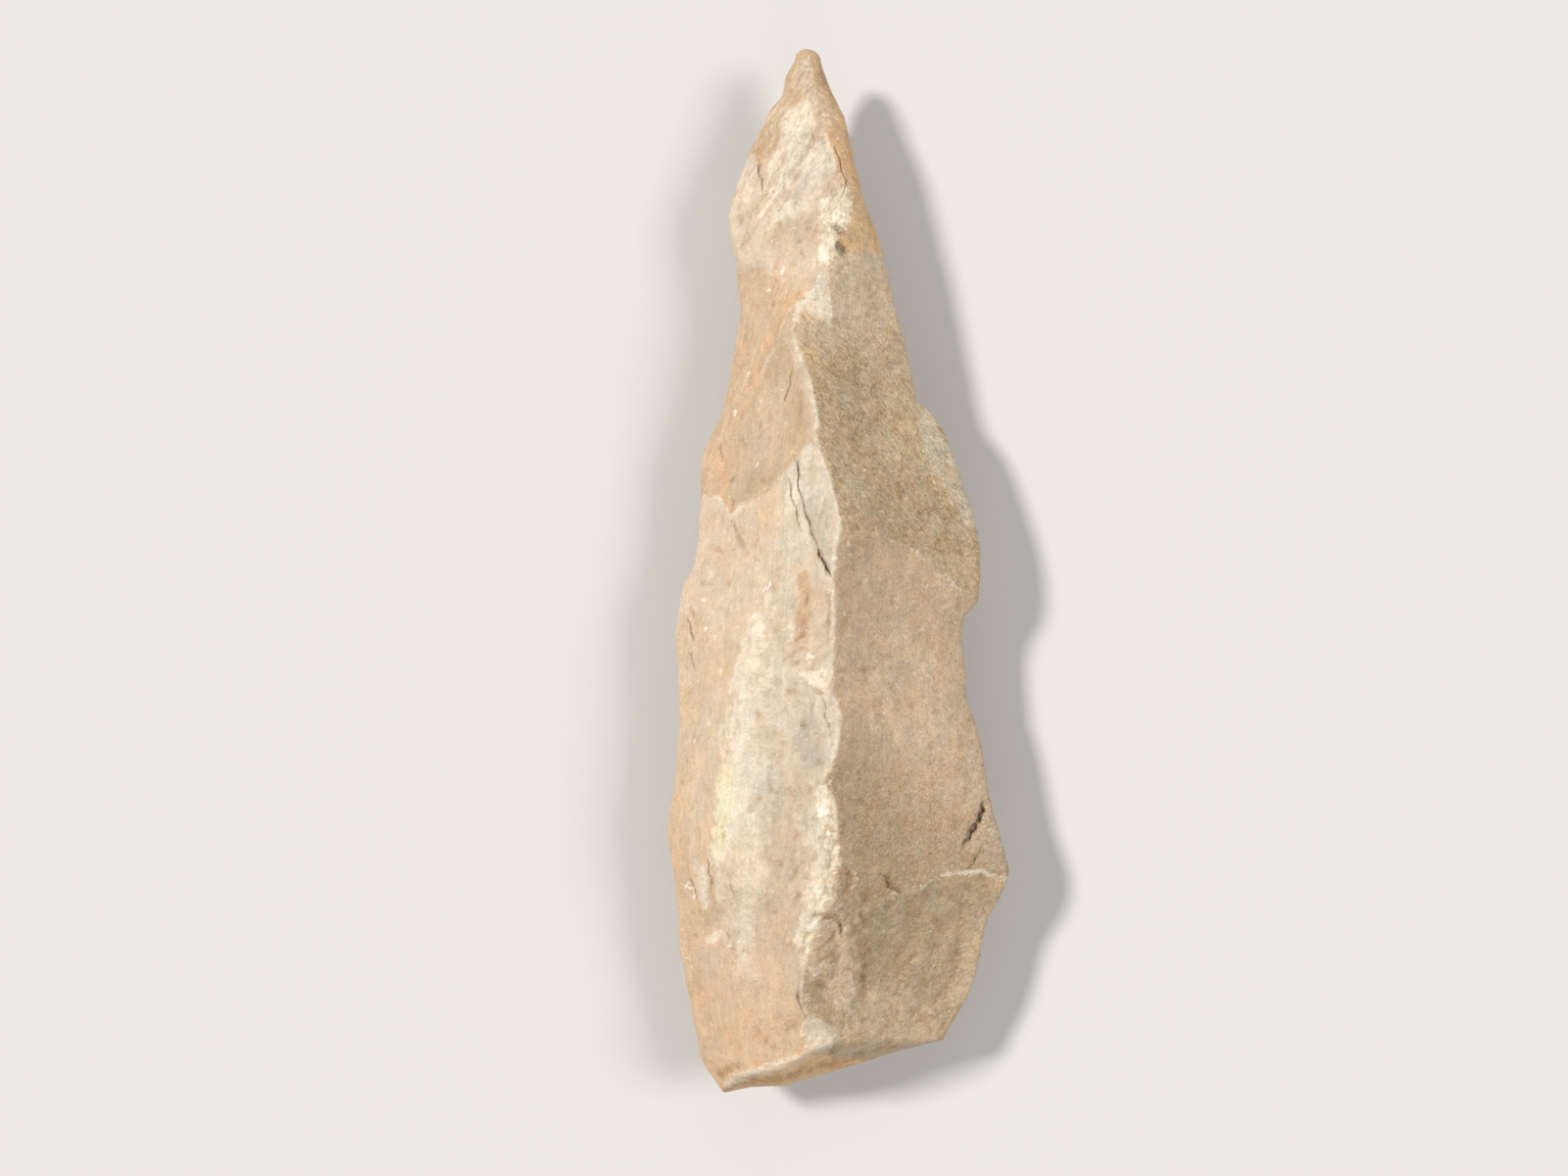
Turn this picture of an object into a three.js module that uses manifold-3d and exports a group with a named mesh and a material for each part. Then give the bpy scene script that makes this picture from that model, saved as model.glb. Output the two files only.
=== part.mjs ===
// Stone hand axe: a long pointed biface, knapped from one block.
// It lies on its flatter underside with the ridged face up, tip towards +Y.
// Millimetres, +Z up; the origin is the middle of the bounding box, on the resting plane.
import * as THREE from "three";
import { mergeVertices } from "three/examples/jsm/utils/BufferGeometryUtils.js";
import Module from "manifold-3d";

// ---- driving dimensions ----
const LENGTH = 280; // butt to tip
const BUTT_RISE = 13.7; // how much further up the right end of the butt lies
const EDGE_Z = 19; // the working edge above the resting plane
const BLUNT = 0.9; // half thickness of the worn edge
const EDGE_COLUMN = 1.1; // how far in from the edge that bluntness reaches
const ARRIS_FADE = 5; // the upper left scars adapt to the main ridge over this distance
const EDGE_FADE = 8; // the underside adapts to the edge over this distance
const BUTT_SLOPE = [[-40, 3.6], [-18, 3.2], [-6, 2.4], [45, 2.1]]; // steepness of the facet at the butt, upper side, by place across
const UNDER_BUTT_SLOPE = 1.5; // the same on the underside
const TAPER_POINT = [-14.5, -4.7, 620]; // plan positions close in towards this point as the face rises
const CENTRE_SHIFT = 0.0635; // brings the middle of the bounding box to x = 0
const UNDER_CURVE = 0.1; // how much the underside's middle curves up towards its creases

// Cusps of the working edge, tip to butt: [across, along, bow of the flake arc that leads to it].
const LEFT_EDGE = [
  [-8.7, 140, 0], [-11.7, 136.6, -0.9], [-15, 127.4, -0.7], [-17.9, 124.2, 0.2], [-29.6, 95.3, -1.1],
  [-27.2, 82.1, -0.4], [-25.9, 70, -0.4], [-28.4, 55.3, -0.2], [-32.1, 40, 0.4], [-36.1, 31.6, -0.2],
  [-36.8, 18.4, -0.5], [-37.9, 5.8, 0.1], [-41.6, -3.9, 0.8], [-43.7, -17.9, -0.2], [-42.6, -36.8, 0.2],
  [-43.4, -50.8, 0.1], [-46.1, -70, 0.3], [-43.7, -84.7, 0.1], [-42.8, -103.2, 0.3], [-41.1, -110, 0.5],
  [-37.9, -126.3, 0], [-35, -134.7, -0.5], [-30.3, -140, -0.2],
];
const RIGHT_EDGE = [
  [-8.7, 140, 0], [-4.5, 136.3, 0], [-1.8, 128.4, -0.2], [1.8, 121.6, 0], [3.9, 112.1, -0.1],
  [8.2, 95.8, -0.5], [12.9, 81.1, 0.4], [17.6, 62.6, -0.1], [21.3, 45.5, 0.1], [23.6, 43.8, 0.1],
  [30.3, 33.2, 0.8], [35.3, 18.4, -0.1], [38.4, 3.7, 0.5], [37.9, -6.8, 0], [34.7, -11.8, 0.7],
  [33.4, -17.9, -0.2], [34.7, -29.5, 0], [35.5, -36.8, -0.6], [38.9, -47.9, 0.3], [42.1, -66.3, -0.3],
  [46.1, -80.5, 0.2], [40.5, -92.9, 1], [38.7, -101.8, -0.1], [35, -114.7, 0.4], [28.4, -126.3, 0],
];
// Bow of the butt line against its chord, by share of the width.
const BUTT_BOW = [[0, 0], [0.12, -0.2], [0.27, -1.9], [0.54, -0.9], [0.81, 0.4], [0.93, 0.4], [1, 0]];
// Profiles along the axe: [along, value].
const RIDGE = [ // main ridge, across
  [-140, -3.5], [-131, -1.6], [-126, -1.2], [-123.2, -2.6], [-121, -7.4], [-118.5, -9.8], [-114, -9.6], [-110, -9.4], [-101, -8.2], [-93, -5.2], [-85, -1.8], [-79, -0.6],
  [-73, 0], [-64, -0.5], [-60, -1.6], [-57.4, -4.2], [-54.5, -3.2], [-50.3, -1], [-44.5, 0.5], [-37.4, 0.3], [-34.5, -0.5],
  [-31.6, -3], [-28.4, -1.2], [-4.7, -1], [-1.6, -1.6], [5.8, -0.5], [13.4, 0.5], [18.2, -0.5], [24, -2.1], [31.6, -4.5],
  [36, -6.3], [39.2, -5.5], [42.9, -5.8], [46.8, -7.1], [51.6, -7.4], [54.2, -9.2], [58.2, -10.3], [61.1, -11.6],
  [64.5, -12.6], [70.5, -10.5], [78.2, -5.3], [81.5, -2.9], [85, -2.3], [90, -1.3], [96.6, 0.8], [104.2, 0.8], [109.7, -0.8],
  [116.6, -2.6], [122.9, -4.5], [128.2, -6], [137.4, -7.1], [141, -8],
];
const RIDGE_HEIGHT = [ // above the edge
  [-140, 18], [-125, 20.2], [-110, 22.2], [-93, 24.2], [-70, 26], [-40, 26.6], [-10, 26], [11, 24.6], [32, 22.5],
  [41, 21], [52, 19.1], [67, 16.2], [77, 13.6], [85, 11], [94, 8], [103, 6.2], [112, 5.4], [121, 4.8],
  [127, 4.4], [140, 3.4],
];
const RIGHT_LIFT = [[52, 0], [70, 0.5], [85, 1.4], [94, 2.2], [103, 2.7], [112, 2.6], [121, 1.8], [127, 1], [140, 0]]; // the right edge's own rise near the tip
const SHOULDER = [ // second ridge, where the left flank meets the sloping top, across
  [-140, -27.5], [-123.2, -25.8], [-110, -24], [-94.2, -25.4], [-83.7, -28.9], [-73.2, -31.1], [-57.4, -29.2],
  [-44.2, -27.6], [-31.1, -26.4], [-20.5, -24.2], [-10, -19.2], [5.8, -15.6], [22.9, -13.4], [35.5, -12],
  [48, -16.5], [60, -18.5], [77, -17], [94, -15.5], [112, -13], [140, -11],
];
const SHOULDER_SHARE = [ // its height as a share of the main ridge's
  [-140, 0.6], [-123, 0.7], [-110, 0.74], [-94.2, 0.72], [-83.7, 0.68], [-73.2, 0.63], [-57.4, 0.655],
  [-44.2, 0.67], [-31.1, 0.7], [-20.5, 0.735], [-10, 0.77], [5.8, 0.8], [22.9, 0.83], [35.5, 0.8], [48, 0.68],
  [60, 0.62], [77, 0.68], [94, 0.84], [106, 0.92], [140, 0.94],
];
const FLANK_BOW = [[-140, -0.6], [-100, -1.2], [-60, -0.6], [-20, -0.8], [20, -0.6], [40, 0.6], [60, 0.8], [85, 0.8], [110, 0.5], [140, 0.4]];
const TOP_BOW = [[-140, 0], [-90, -0.5], [-60, -0.6], [-20, -0.2], [20, -0.5], [60, 0], [140, 0]];
const RIGHT_BOW = [[-140, 0], [-110, -0.9], [-80, -0.9], [-50, -1.2], [-20, -1.3], [5, -1.1], [20, -0.3], [45, 0.7], [60, 1.5], [75, 1.9], [88, 1.1], [100, 0.5], [140, 0.4]];
const UNDER_DEPTH = [ // the underside's middle below the edge
  [-140, 14], [-122, 17.2], [-106, 18.35], [-60, 18.55], [0, 18.55], [34, 18.4], [60, 16.6], [85, 13.6], [105, 10.3],
  [122, 7.3], [132, 5.6], [140, 3.8],
];
const UNDER_LEFT = [[-140, 0.36], [-100, 0.3], [-60, 0.24], [-20, 0.31], [20, 0.25], [60, 0.33], [100, 0.3], [140, 0.4]]; // creases of the
const UNDER_RIGHT = [[-140, 0.66], [-100, 0.7], [-50, 0.76], [-10, 0.67], [30, 0.75], [70, 0.66], [110, 0.7], [140, 0.6]]; // underside, by share

// Flake scars: [side of the main ridge, across, along, half length, half width, direction in degrees, depth, sharpness].
const SCARS = [
  ["L", -28.9, 66.3, 30, 15, 62, 0.9, 2], ["L", -8.7, 58.4, 26, 9, 68, 1.2, 2], ["L", -14.5, -11.3, 17, 8.5, 90, 1.1, 2.2],
  ["L", -14.5, -57.4, 29, 13.5, 90, 1.9, 2.4], ["L", -27.1, -112.6, 28, 19, 92, 2, 2.2], ["L", -37.6, -57.4, 24, 7, 88, 1, 2],
  ["L", -30.3, 5.8, 14, 8, 80, 0.8, 2], ["R", 10, -42.1, 52, 42, 92, 1.2, 4.5], ["R", 28.2, -110, 28.5, 27, 92, 2.6, 2.2],
  ["R", 42.1, -52.1, 20, 9, 80, 1, 2], ["R", 38.2, -17.9, 12, 10, 80, 1.2, 2], ["R", 0.8, -110, 22, 7, 88, 1, 2.2],
  ["R", 13.2, 42.6, 36, 12, 106, 0.7, 2],
];
// Crests between scars: [side, height, reach to the left of its direction, reach to the right, bends].
const CRESTS = [
  ["L", 1, 9, 9, [[-2.4, 81.6], [-12.9, 70.3], [-21.1, 50.5], [-28.9, 33.4]]],
  ["L", 0.75, 3.2, 15, [[-32.6, 21.5], [-31.6, 19.3], [-29.5, 14.3], [-24.8, 17.4], [-18.6, 21.8], [-12.4, 29.2], [-6.8, 35.1]]],
  ["L", 0.9, 2.4, 12, [[-20, -26.1], [-10.5, -27.1], [-4.7, -30.3], [-0.3, -33.9]]],
  ["L", 0.6, 1.4, 6, [[-41, -6], [-40.3, -10.8], [-38.9, -17.9], [-39.2, -22.9], [-37.9, -28.7], [-38.2, -34.5], [-40, -44]]],
  ["L", 0.8, 12, 3, [[-43.9, -78.4], [-36.8, -81.8], [-28.9, -82.9], [-21.1, -85], [-14.5, -90.3]]],
  ["L", 0.6, 7, 5, [[-29, 8], [-33, -6], [-36, -26], [-37, -46]]],
  ["L", 0.5, 6, 5, [[-33, -46], [-38, -62], [-42, -74]]],
  ["L", 0.7, 5, 6, [[-17.1, 124.2], [-10.5, 119.5], [-3.4, 113.7], [-0.8, 107.1]]],
  ["L", 0.8, 5, 5, [[-28.9, 96.6], [-21.1, 101.8], [-14.5, 109.7], [-8.7, 119.5]]],
  ["L", 0.7, 6, 5, [[-31.6, 83.4], [-22.4, 84.2], [-12.9, 87.4], [-2.4, 93.9]]],
  ["R", 0.7, 25, 5, [[0.8, 11.1], [7.9, 10.3], [18.4, 6.8], [28.9, -2.1], [38.9, -8.9]]],
  ["R", 0.8, 4, 12, [[45.8, -82.9], [41.8, -81.8], [38.2, -80.8], [34.5, -81.3], [28.9, -81.6], [26.1, -82.4], [23.4, -84.7], [15.8, -87.6], [6.8, -92.4]]],
  ["R", 0.8, 1.6, 5, [[2.6, -95.3], [3.9, -99.7], [5, -106.3], [3.9, -111.8]]],
  ["R", 0.7, 5, 1.6, [[-0.5, -79.5], [2.6, -78.9], [5.5, -81.3], [5.8, -84.2], [4.5, -86.6]]],
  ["R", 1.3, 9, 7, [[-2.9, 81], [-2.2, 74], [-1.6, 66.3]]],
  ["R", 0.5, 10, 8, [[24, 42], [16, 30], [9, 22]]],
];
// Scars of the underside: [across, along, half length, half width, direction, depth].
const UNDER_SCARS = [
  [-34, 8, 20, 13, 15, 1.6], [-36, -34, 20, 17, 170, 1.8], [-34, -84, 22, 20, 10, 2], [-22, 52, 20, 14, 20, 1.4],
  [-20, 92, 16, 13, 30, 1.2], [30, -6, 20, 15, 165, 1.7], [31, -48, 18, 18, 5, 1.8], [32, -94, 21, 19, 175, 2],
  [20, 40, 18, 15, 160, 1.4], [6, 84, 14, 16, 150, 1.2], [-6, -118, 16, 18, 90, 1.4],
];

// ---- working-out functions ----
const clamp = (x, a = 0, b = 1) => Math.min(Math.max(x, a), b);
const step = (a, b, x) => { const t = clamp((x - a) / (b - a)); return t * t * (3 - 2 * t); };
const softMin = (a, b, k) => { const h = Math.max(k - Math.abs(a - b), 0) / k; return Math.min(a, b) - (h * h * k) / 4; };
function along(table, v) {
  const n = table.length;
  if (v <= table[0][0]) return table[0][1];
  if (v >= table[n - 1][0]) return table[n - 1][1];
  let i = 0;
  while (v > table[i + 1][0]) i++;
  const q = (v - table[i][0]) / (table[i + 1][0] - table[i][0]);
  return table[i][1] + (table[i + 1][1] - table[i][1]) * q;
}
function eased(table, v, reach) {
  let sum = 0;
  for (const [k, w] of [[-1, 1], [-0.5, 2], [0, 3], [0.5, 2], [1, 1]]) sum += w * along(table, v + k * reach);
  return sum / 9;
}
// A chain of flake arcs; the one at the tip is a quarter of an ellipse.
function edgeAt(cusps, v) {
  const last = cusps.length - 1;
  let i = last;
  while (i > 1 && v > cusps[i - 1][1]) i--;
  const [u1, v1, bow] = cusps[i];
  const [u2, v2] = cusps[i - 1];
  const q = clamp((v - v1) / (v2 - v1));
  if (i === 1) return u2 + (u1 - u2) * Math.sqrt(1 - q * q);
  return u1 + (u2 - u1) * q + bow * 4 * q * (1 - q);
}
const outline = (cusps, tip) => cusps.filter((c) => c[1] < 133).map((c) => [c[1], c[0]]).reverse().concat([[141, tip]]);
const LEFT_LINE = outline(LEFT_EDGE, -12.5);
const RIGHT_LINE = [[-140, 22], ...outline(RIGHT_EDGE, -4)];

// Signed reach to a line of bends: distance, side (+1 is left of its direction), share along it.
function nearest(bends, u, v) {
  let best = [1e9, 0, 0];
  for (let k = 0; k + 1 < bends.length; k++) {
    const [ax, ay] = bends[k];
    const dx = bends[k + 1][0] - ax, dy = bends[k + 1][1] - ay;
    const q = clamp(((u - ax) * dx + (v - ay) * dy) / (dx * dx + dy * dy));
    const r = Math.hypot(u - ax - q * dx, v - ay - q * dy);
    if (r < best[0]) best = [r, Math.sign(dx * (v - ay) - dy * (u - ax)), (k + q) / (bends.length - 1)];
  }
  return best;
}
function relief(side, u, v) {
  let raised = 0, cut = 0;
  for (const [s, height, left, right, bends] of CRESTS) {
    if (s !== side) continue;
    const [r, sign, share] = nearest(bends, u, v);
    const ends = step(0, 0.12, share) * step(0, 0.12, 1 - share);
    raised += height * Math.max(1 - r / (sign > 0 ? left : right), 0) ** 1.3 * (0.25 + 0.75 * ends);
  }
  for (const [s, cu, cv, a, b, degrees, depth, power] of SCARS) {
    if (s === side) cut = Math.max(cut, scoop(u, v, cu, cv, a, b, degrees, depth, power));
  }
  return raised - cut;
}
function scoop(u, v, cu, cv, a, b, degrees, depth, power) {
  const c = Math.cos((degrees * Math.PI) / 180), s = Math.sin((degrees * Math.PI) / 180);
  const x = ((u - cu) * c + (v - cv) * s) / a, y = ((v - cv) * c - (u - cu) * s) / b;
  return depth * Math.max(1 - Math.hypot(x, y) ** power, 0);
}
function rightFace(u, v) {
  const edge = eased(RIGHT_LINE, v, 9), ridge = eased(RIDGE, v, 10);
  const q = (edge - u) / (edge - ridge), qc = clamp(q);
  const high = eased(RIDGE_HEIGHT, v, 5), rise = eased(RIGHT_LIFT, v, 5);
  const h = rise + (high - rise) * q + eased(RIGHT_BOW, v, 8) * 4 * qc * (1 - qc);
  return softMin(h, high + 0.4, 1.5) + relief("R", u, v);
}
function leftFace(u, v) {
  const edge = eased(LEFT_LINE, v, 9), ridge = eased(RIDGE, v, 10);
  const shoulder = Math.min(eased(SHOULDER, v, 5), ridge - 3);
  const high = eased(RIDGE_HEIGHT, v, 5), low = high * eased(SHOULDER_SHARE, v, 4);
  const q = (u - edge) / (shoulder - edge), qc = clamp(q);
  const w = (u - shoulder) / (ridge - shoulder), wc = clamp(w);
  const flank = low * q + eased(FLANK_BOW, v, 8) * 4 * qc * (1 - qc);
  const top = low + (high - low) * w + eased(TOP_BOW, v, 8) * 4 * wc * (1 - wc);
  return softMin(flank, top, 2.2) + relief("L", u, v);
}
const ridgeAt = (v) => eased(RIDGE, v, 1.2);
function buttReach(u, v) {
  const share = clamp((u + 30.3) / 58.7);
  return v - (-LENGTH / 2 + BUTT_RISE * share + along(BUTT_BOW, share));
}
// Height of the ridged face above the edge plane.
function upper(u, v) {
  const ridge = ridgeAt(v);
  let h;
  if (u < ridge) h = leftFace(u, v) + (rightFace(ridge, v) - leftFace(ridge, v)) * Math.exp((u - ridge) / ARRIS_FADE);
  else h = rightFace(u, v);
  return softMin(h, 0.6 + along(BUTT_SLOPE, u) * buttReach(u, v), 1);
}
// Depth of the underside below the edge plane.
function under(u, v) {
  const left = eased(LEFT_LINE, v, 9), right = eased(RIGHT_LINE, v, 9);
  const share = (u - left) / (right - left);
  const a = eased(UNDER_LEFT, v, 14), b = eased(UNDER_RIGHT, v, 14);
  const deep = eased(UNDER_DEPTH, v, 8);
  const middle = 1 - UNDER_CURVE * clamp(Math.abs((2 * share - a - b) / (b - a)), 0, 2) ** 2;
  let d = deep * softMin(softMin((0.9 * share) / a, (0.9 * (1 - share)) / (1 - b), 0.1), middle, 0.08);
  let cut = 0;
  for (const [cu, cv, p, q, degrees, depth] of UNDER_SCARS) cut = Math.max(cut, scoop(u, v, cu, cv, p, q, degrees, depth, 2));
  d -= cut;
  return softMin(d, UNDER_BUTT_SLOPE * buttReach(u, v), 1.5);
}

// ---- the grid: rows run from the butt to the tip, columns from the left edge to the right ----
const half = LENGTH / 2;
function place(t, s) {
  const lv = -half + LENGTH * t, rv = -half + BUTT_RISE + (LENGTH - BUTT_RISE) * t;
  const lu = edgeAt(LEFT_EDGE, lv), ru = edgeAt(RIGHT_EDGE, rv);
  return { u: lu + (ru - lu) * s, v: lv + (rv - lv) * s + along(BUTT_BOW, s) * clamp(1 - t / 0.14), width: ru - lu };
}
function shareOf(line, t, low, high) {
  let s = 0.5;
  for (let k = 0; k < 8; k++) {
    const { v } = place(t, s);
    const { u: lu, width } = place(t, 0);
    s = clamp((line(v) - lu) / width, low, high);
  }
  return s;
}
const ROWS = [0, 0.9, 2.4, 4.6];
for (let y = 7.4; y < 268; y += 3.25) ROWS.push(y);
ROWS.push(270.2, 272.8, 275.1, 276.9, 278.2, 279.1, 279.7);

function columns(t, stops, counts) {
  const width = place(t, 0).width, rim = Math.min(EDGE_COLUMN / width, 0.09);
  const knots = [rim, ...stops, 1 - rim];
  const list = [0];
  knots.slice(1).forEach((end, k) => {
    const start = knots[k];
    for (let i = 0; i < counts[k]; i++) list.push(start + ((end - start) * i) / counts[k]);
  });
  list.push(1 - rim, 1);
  return list;
}
const topStops = (t) => {
  const ridge = shareOf(ridgeAt, t, 0.3, 0.86);
  const shoulder = Math.min(shareOf((v) => eased(SHOULDER, v, 5), t, 0.12, 0.8), ridge - 0.1);
  return [shoulder, ridge];
};
const lowStops = (t) => {
  const v = place(t, 0.5).v;
  return [eased(UNDER_LEFT, v, 14), eased(UNDER_RIGHT, v, 14)];
};

const points = [];
const triangles = [];
const add = (x, y, z) => points.push([x, y, z]) - 1;
const lift = (u, v, h) => {
  const [cu, cv, far] = TAPER_POINT, k = 1 - Math.max(h, 0) / far;
  return [cu + (u - cu) * k, cv + (v - cv) * k];
};
const tipRound = (v) => Math.sqrt(1 - (1 - clamp((half + 0.05 - v) / 8)) ** 2);
const edgeHeight = (p) => clamp(upper(p.u, p.v), -2.2, 3.2) * step(0.3, 9, half - p.v);
function blunt(distance) {
  const d = clamp(distance / EDGE_COLUMN);
  return BLUNT * Math.sqrt(1 - (1 - d) ** 2);
}
const rowEdges = ROWS.map((y) => {
  const t = y / LENGTH, a = place(t, 0), b = place(t, 1);
  const za = edgeHeight(a), zb = edgeHeight(b);
  return { t, left: add(a.u, a.v, EDGE_Z + za), right: add(b.u, b.v, EDGE_Z + zb), za, zb, a, b };
});
const tip = add(LEFT_EDGE[0][0], LEFT_EDGE[0][1], EDGE_Z);

function surface(stopsAt, counts, isTop) {
  const grid = ROWS.map((y, row) => {
    const { t, left, right, za, zb, a, b } = rowEdges[row];
    const list = columns(t, stopsAt(t), counts);
    const lastBottom = row === 0;
    return list.map((s, col) => {
      if (col === 0) return left;
      if (col === list.length - 1) return right;
      const p = place(t, s);
      const reach = Math.min(s * p.width, (1 - s) * p.width, Math.max(buttReach(p.u, p.v), 0), half - p.v + 0.2);
      const round = blunt(reach) * step(0, 6, half + 1.5 - p.v);
      if (isTop) {
        if (lastBottom) return add(p.u, p.v, EDGE_Z + edgeHeight(p));
        const toEdge = Math.exp(-Math.min(s, 1 - s) * p.width * 2);
        const h = Math.max(upper(p.u, p.v), -2.2) * (1 - toEdge) + (s < 0.5 ? za : zb) * toEdge + round;
        const top = h * tipRound(p.v);
        const [x, yy] = lift(p.u, p.v, top);
        return add(x, yy, EDGE_Z + top);
      }
      if (lastBottom) return null;
      // What each edge needs of the underside, fading inwards and gone at the other edge.
      const need = (z, q) => z + under(q.u, q.v) * tipRound(q.v);
      const sides = (l, r, width) => l * Math.exp((-s * width) / EDGE_FADE) * (1 - s) + r * Math.exp((-(1 - s) * width) / EDGE_FADE) * s;
      const p0 = place(0, s), first = rowEdges[0];
      const needButt = edgeHeight(p0) + under(p0.u, p0.v) - sides(need(first.za, first.a), need(first.zb, first.b), p0.width);
      const side = sides(need(za, a), need(zb, b), p.width);
      const z = -(under(p.u, p.v) * tipRound(p.v)) + side + needButt * Math.exp((-t * LENGTH) / EDGE_FADE) - round;
      return add(p.u, p.v, EDGE_Z + z);
    });
  });
  return grid;
}
const upperGrid = surface(topStops, [7, 7, 11], true);
const lowerGrid = surface(lowStops, [7, 7, 7], false);
// The butt line belongs to both faces: the lower first row takes the nearest points of the upper one.
{
  const count = lowerGrid[0].length, upperCount = upperGrid[0].length;
  for (let c = 1; c < count - 1; c++) lowerGrid[0][c] = upperGrid[0][Math.round((c * (upperCount - 1)) / (count - 1))];
}
function face(a, b, c, up) {
  if (a === b || b === c || a === c) return;
  triangles.push(up ? [a, b, c] : [a, c, b]);
}
function skin(grid, up) { // the two faces split their squares the other way round, so no corner closes flat
  const turn = up ? 0 : 1;
  for (let r = 0; r + 1 < grid.length; r++) {
    for (let c = 0; c + 1 < grid[r].length; c++) {
      const a = grid[r][c], b = grid[r][c + 1], d = grid[r + 1][c], e = grid[r + 1][c + 1];
      if ((r + c + turn) % 2) { face(a, b, e, up); face(a, e, d, up); } else { face(a, b, d, up); face(b, e, d, up); }
    }
  }
  const end = grid[grid.length - 1];
  for (let c = 0; c + 1 < end.length; c++) face(end[c], end[c + 1], tip, up);
}
skin(upperGrid, true);
skin(lowerGrid, false);
// The upper butt points that the lower row skips are joined to it by slivers along the same line.
{
  const line = upperGrid[0];
  const used = lowerGrid[0];
  for (let c = 0; c + 1 < used.length; c++) {
    const from = line.indexOf(used[c]), to = line.indexOf(used[c + 1]);
    for (let k = from + 1; k < to; k++) face(line[k], line[k + 1], used[c], false);
  }
}

function solidGeometry() {
  const geometry = new THREE.BufferGeometry();
  geometry.setAttribute("position", new THREE.Float32BufferAttribute(points.flat(), 3));
  geometry.setIndex(triangles.flat());
  return geometry;
}

// ---- the rest facet: the underside is cut level where it dips below the resting plane ----
const wasm = await Module();
wasm.setup();
function toSolid(source) {
  const bare = source.clone();
  bare.deleteAttribute("normal");
  bare.deleteAttribute("uv");
  const merged = mergeVertices(bare, 1e-4);
  return new wasm.Manifold(new wasm.Mesh({
    numProp: 3,
    vertProperties: new Float32Array(merged.attributes.position.array),
    triVerts: new Uint32Array(merged.index.array),
  }));
}
const ground = new THREE.BoxGeometry(200, LENGTH + 100, 20);
ground.translate(0, 0, -10);
const cut = toSolid(solidGeometry()).subtract(toSolid(ground)).getMesh();

const body = new THREE.BufferGeometry();
const kept = [];
for (let i = 0; i < cut.vertProperties.length; i += cut.numProp) kept.push(cut.vertProperties[i], cut.vertProperties[i + 1], cut.vertProperties[i + 2]);
body.setAttribute("position", new THREE.Float32BufferAttribute(kept, 3));
body.setIndex(Array.from(cut.triVerts));
body.translate(CENTRE_SHIFT, 0, 0);
body.computeVertexNormals();

const stone = new THREE.MeshStandardMaterial({ color: 0xc8a98a, roughness: 0.85, metalness: 0, flatShading: true });
const axe = new THREE.Mesh(body, stone);
axe.name = "hand_axe";
const group = new THREE.Group();
group.add(axe);
export default group;
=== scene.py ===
import math

import bpy
import numpy as np
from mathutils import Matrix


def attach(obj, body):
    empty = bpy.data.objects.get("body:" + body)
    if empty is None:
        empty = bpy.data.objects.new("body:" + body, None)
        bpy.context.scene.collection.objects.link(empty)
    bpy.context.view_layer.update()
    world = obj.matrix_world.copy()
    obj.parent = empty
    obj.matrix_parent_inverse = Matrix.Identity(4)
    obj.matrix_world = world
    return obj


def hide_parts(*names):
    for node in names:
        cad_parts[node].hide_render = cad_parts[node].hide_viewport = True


# The stone hand axe, carved at full resolution around its CAD solid, then lit and framed.
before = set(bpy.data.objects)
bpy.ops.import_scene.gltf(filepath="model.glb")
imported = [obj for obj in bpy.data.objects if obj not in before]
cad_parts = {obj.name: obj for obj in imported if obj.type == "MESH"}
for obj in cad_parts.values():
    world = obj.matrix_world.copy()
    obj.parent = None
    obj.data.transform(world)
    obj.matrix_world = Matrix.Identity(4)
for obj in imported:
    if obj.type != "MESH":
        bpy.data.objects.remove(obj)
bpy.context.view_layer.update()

# ---------------------------------------------------------------- named sizes, millimetres
LENGTH = 280.0
BUTT_RISE = 13.7
EDGE_Z = 19.0
BLUNT = 0.9
EDGE_COLUMN = 1.1
ARRIS_FADE = 5.0
EDGE_FADE = 8.0
BUTT_SLOPE = [(-40, 3.6), (-18, 3.2), (-6, 2.4), (45, 2.1)]
UNDER_BUTT_SLOPE = 1.5
UNDER_CURVE = 0.1
CENTRE_SHIFT = 0.0635
VIEW = (-14.5, -4.7, 620.0)  # foot of the view axis, and the eye's height above the edge plane
HALF = LENGTH / 2

# cusps of the working edge, tip to butt: across, along, bow of the flake arc that leads to it
LEFT_EDGE = [
    (-8.7, 140, 0), (-11.7, 136.6, -0.9), (-15, 127.4, -0.7), (-17.9, 124.2, 0.2), (-29.6, 95.3, -1.1),
    (-27.2, 82.1, -0.4), (-25.9, 70, -0.4), (-28.4, 55.3, -0.2), (-32.1, 40, 0.4), (-36.1, 31.6, -0.2),
    (-36.8, 18.4, -0.5), (-37.9, 5.8, 0.1), (-41.6, -3.9, 0.8), (-43.7, -17.9, -0.2), (-42.6, -36.8, 0.2),
    (-43.4, -50.8, 0.1), (-46.1, -70, 0.3), (-43.7, -84.7, 0.1), (-42.8, -103.2, 0.3), (-41.1, -110, 0.5),
    (-37.9, -126.3, 0), (-35, -134.7, -0.5), (-30.3, -140, -0.2),
]
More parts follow.
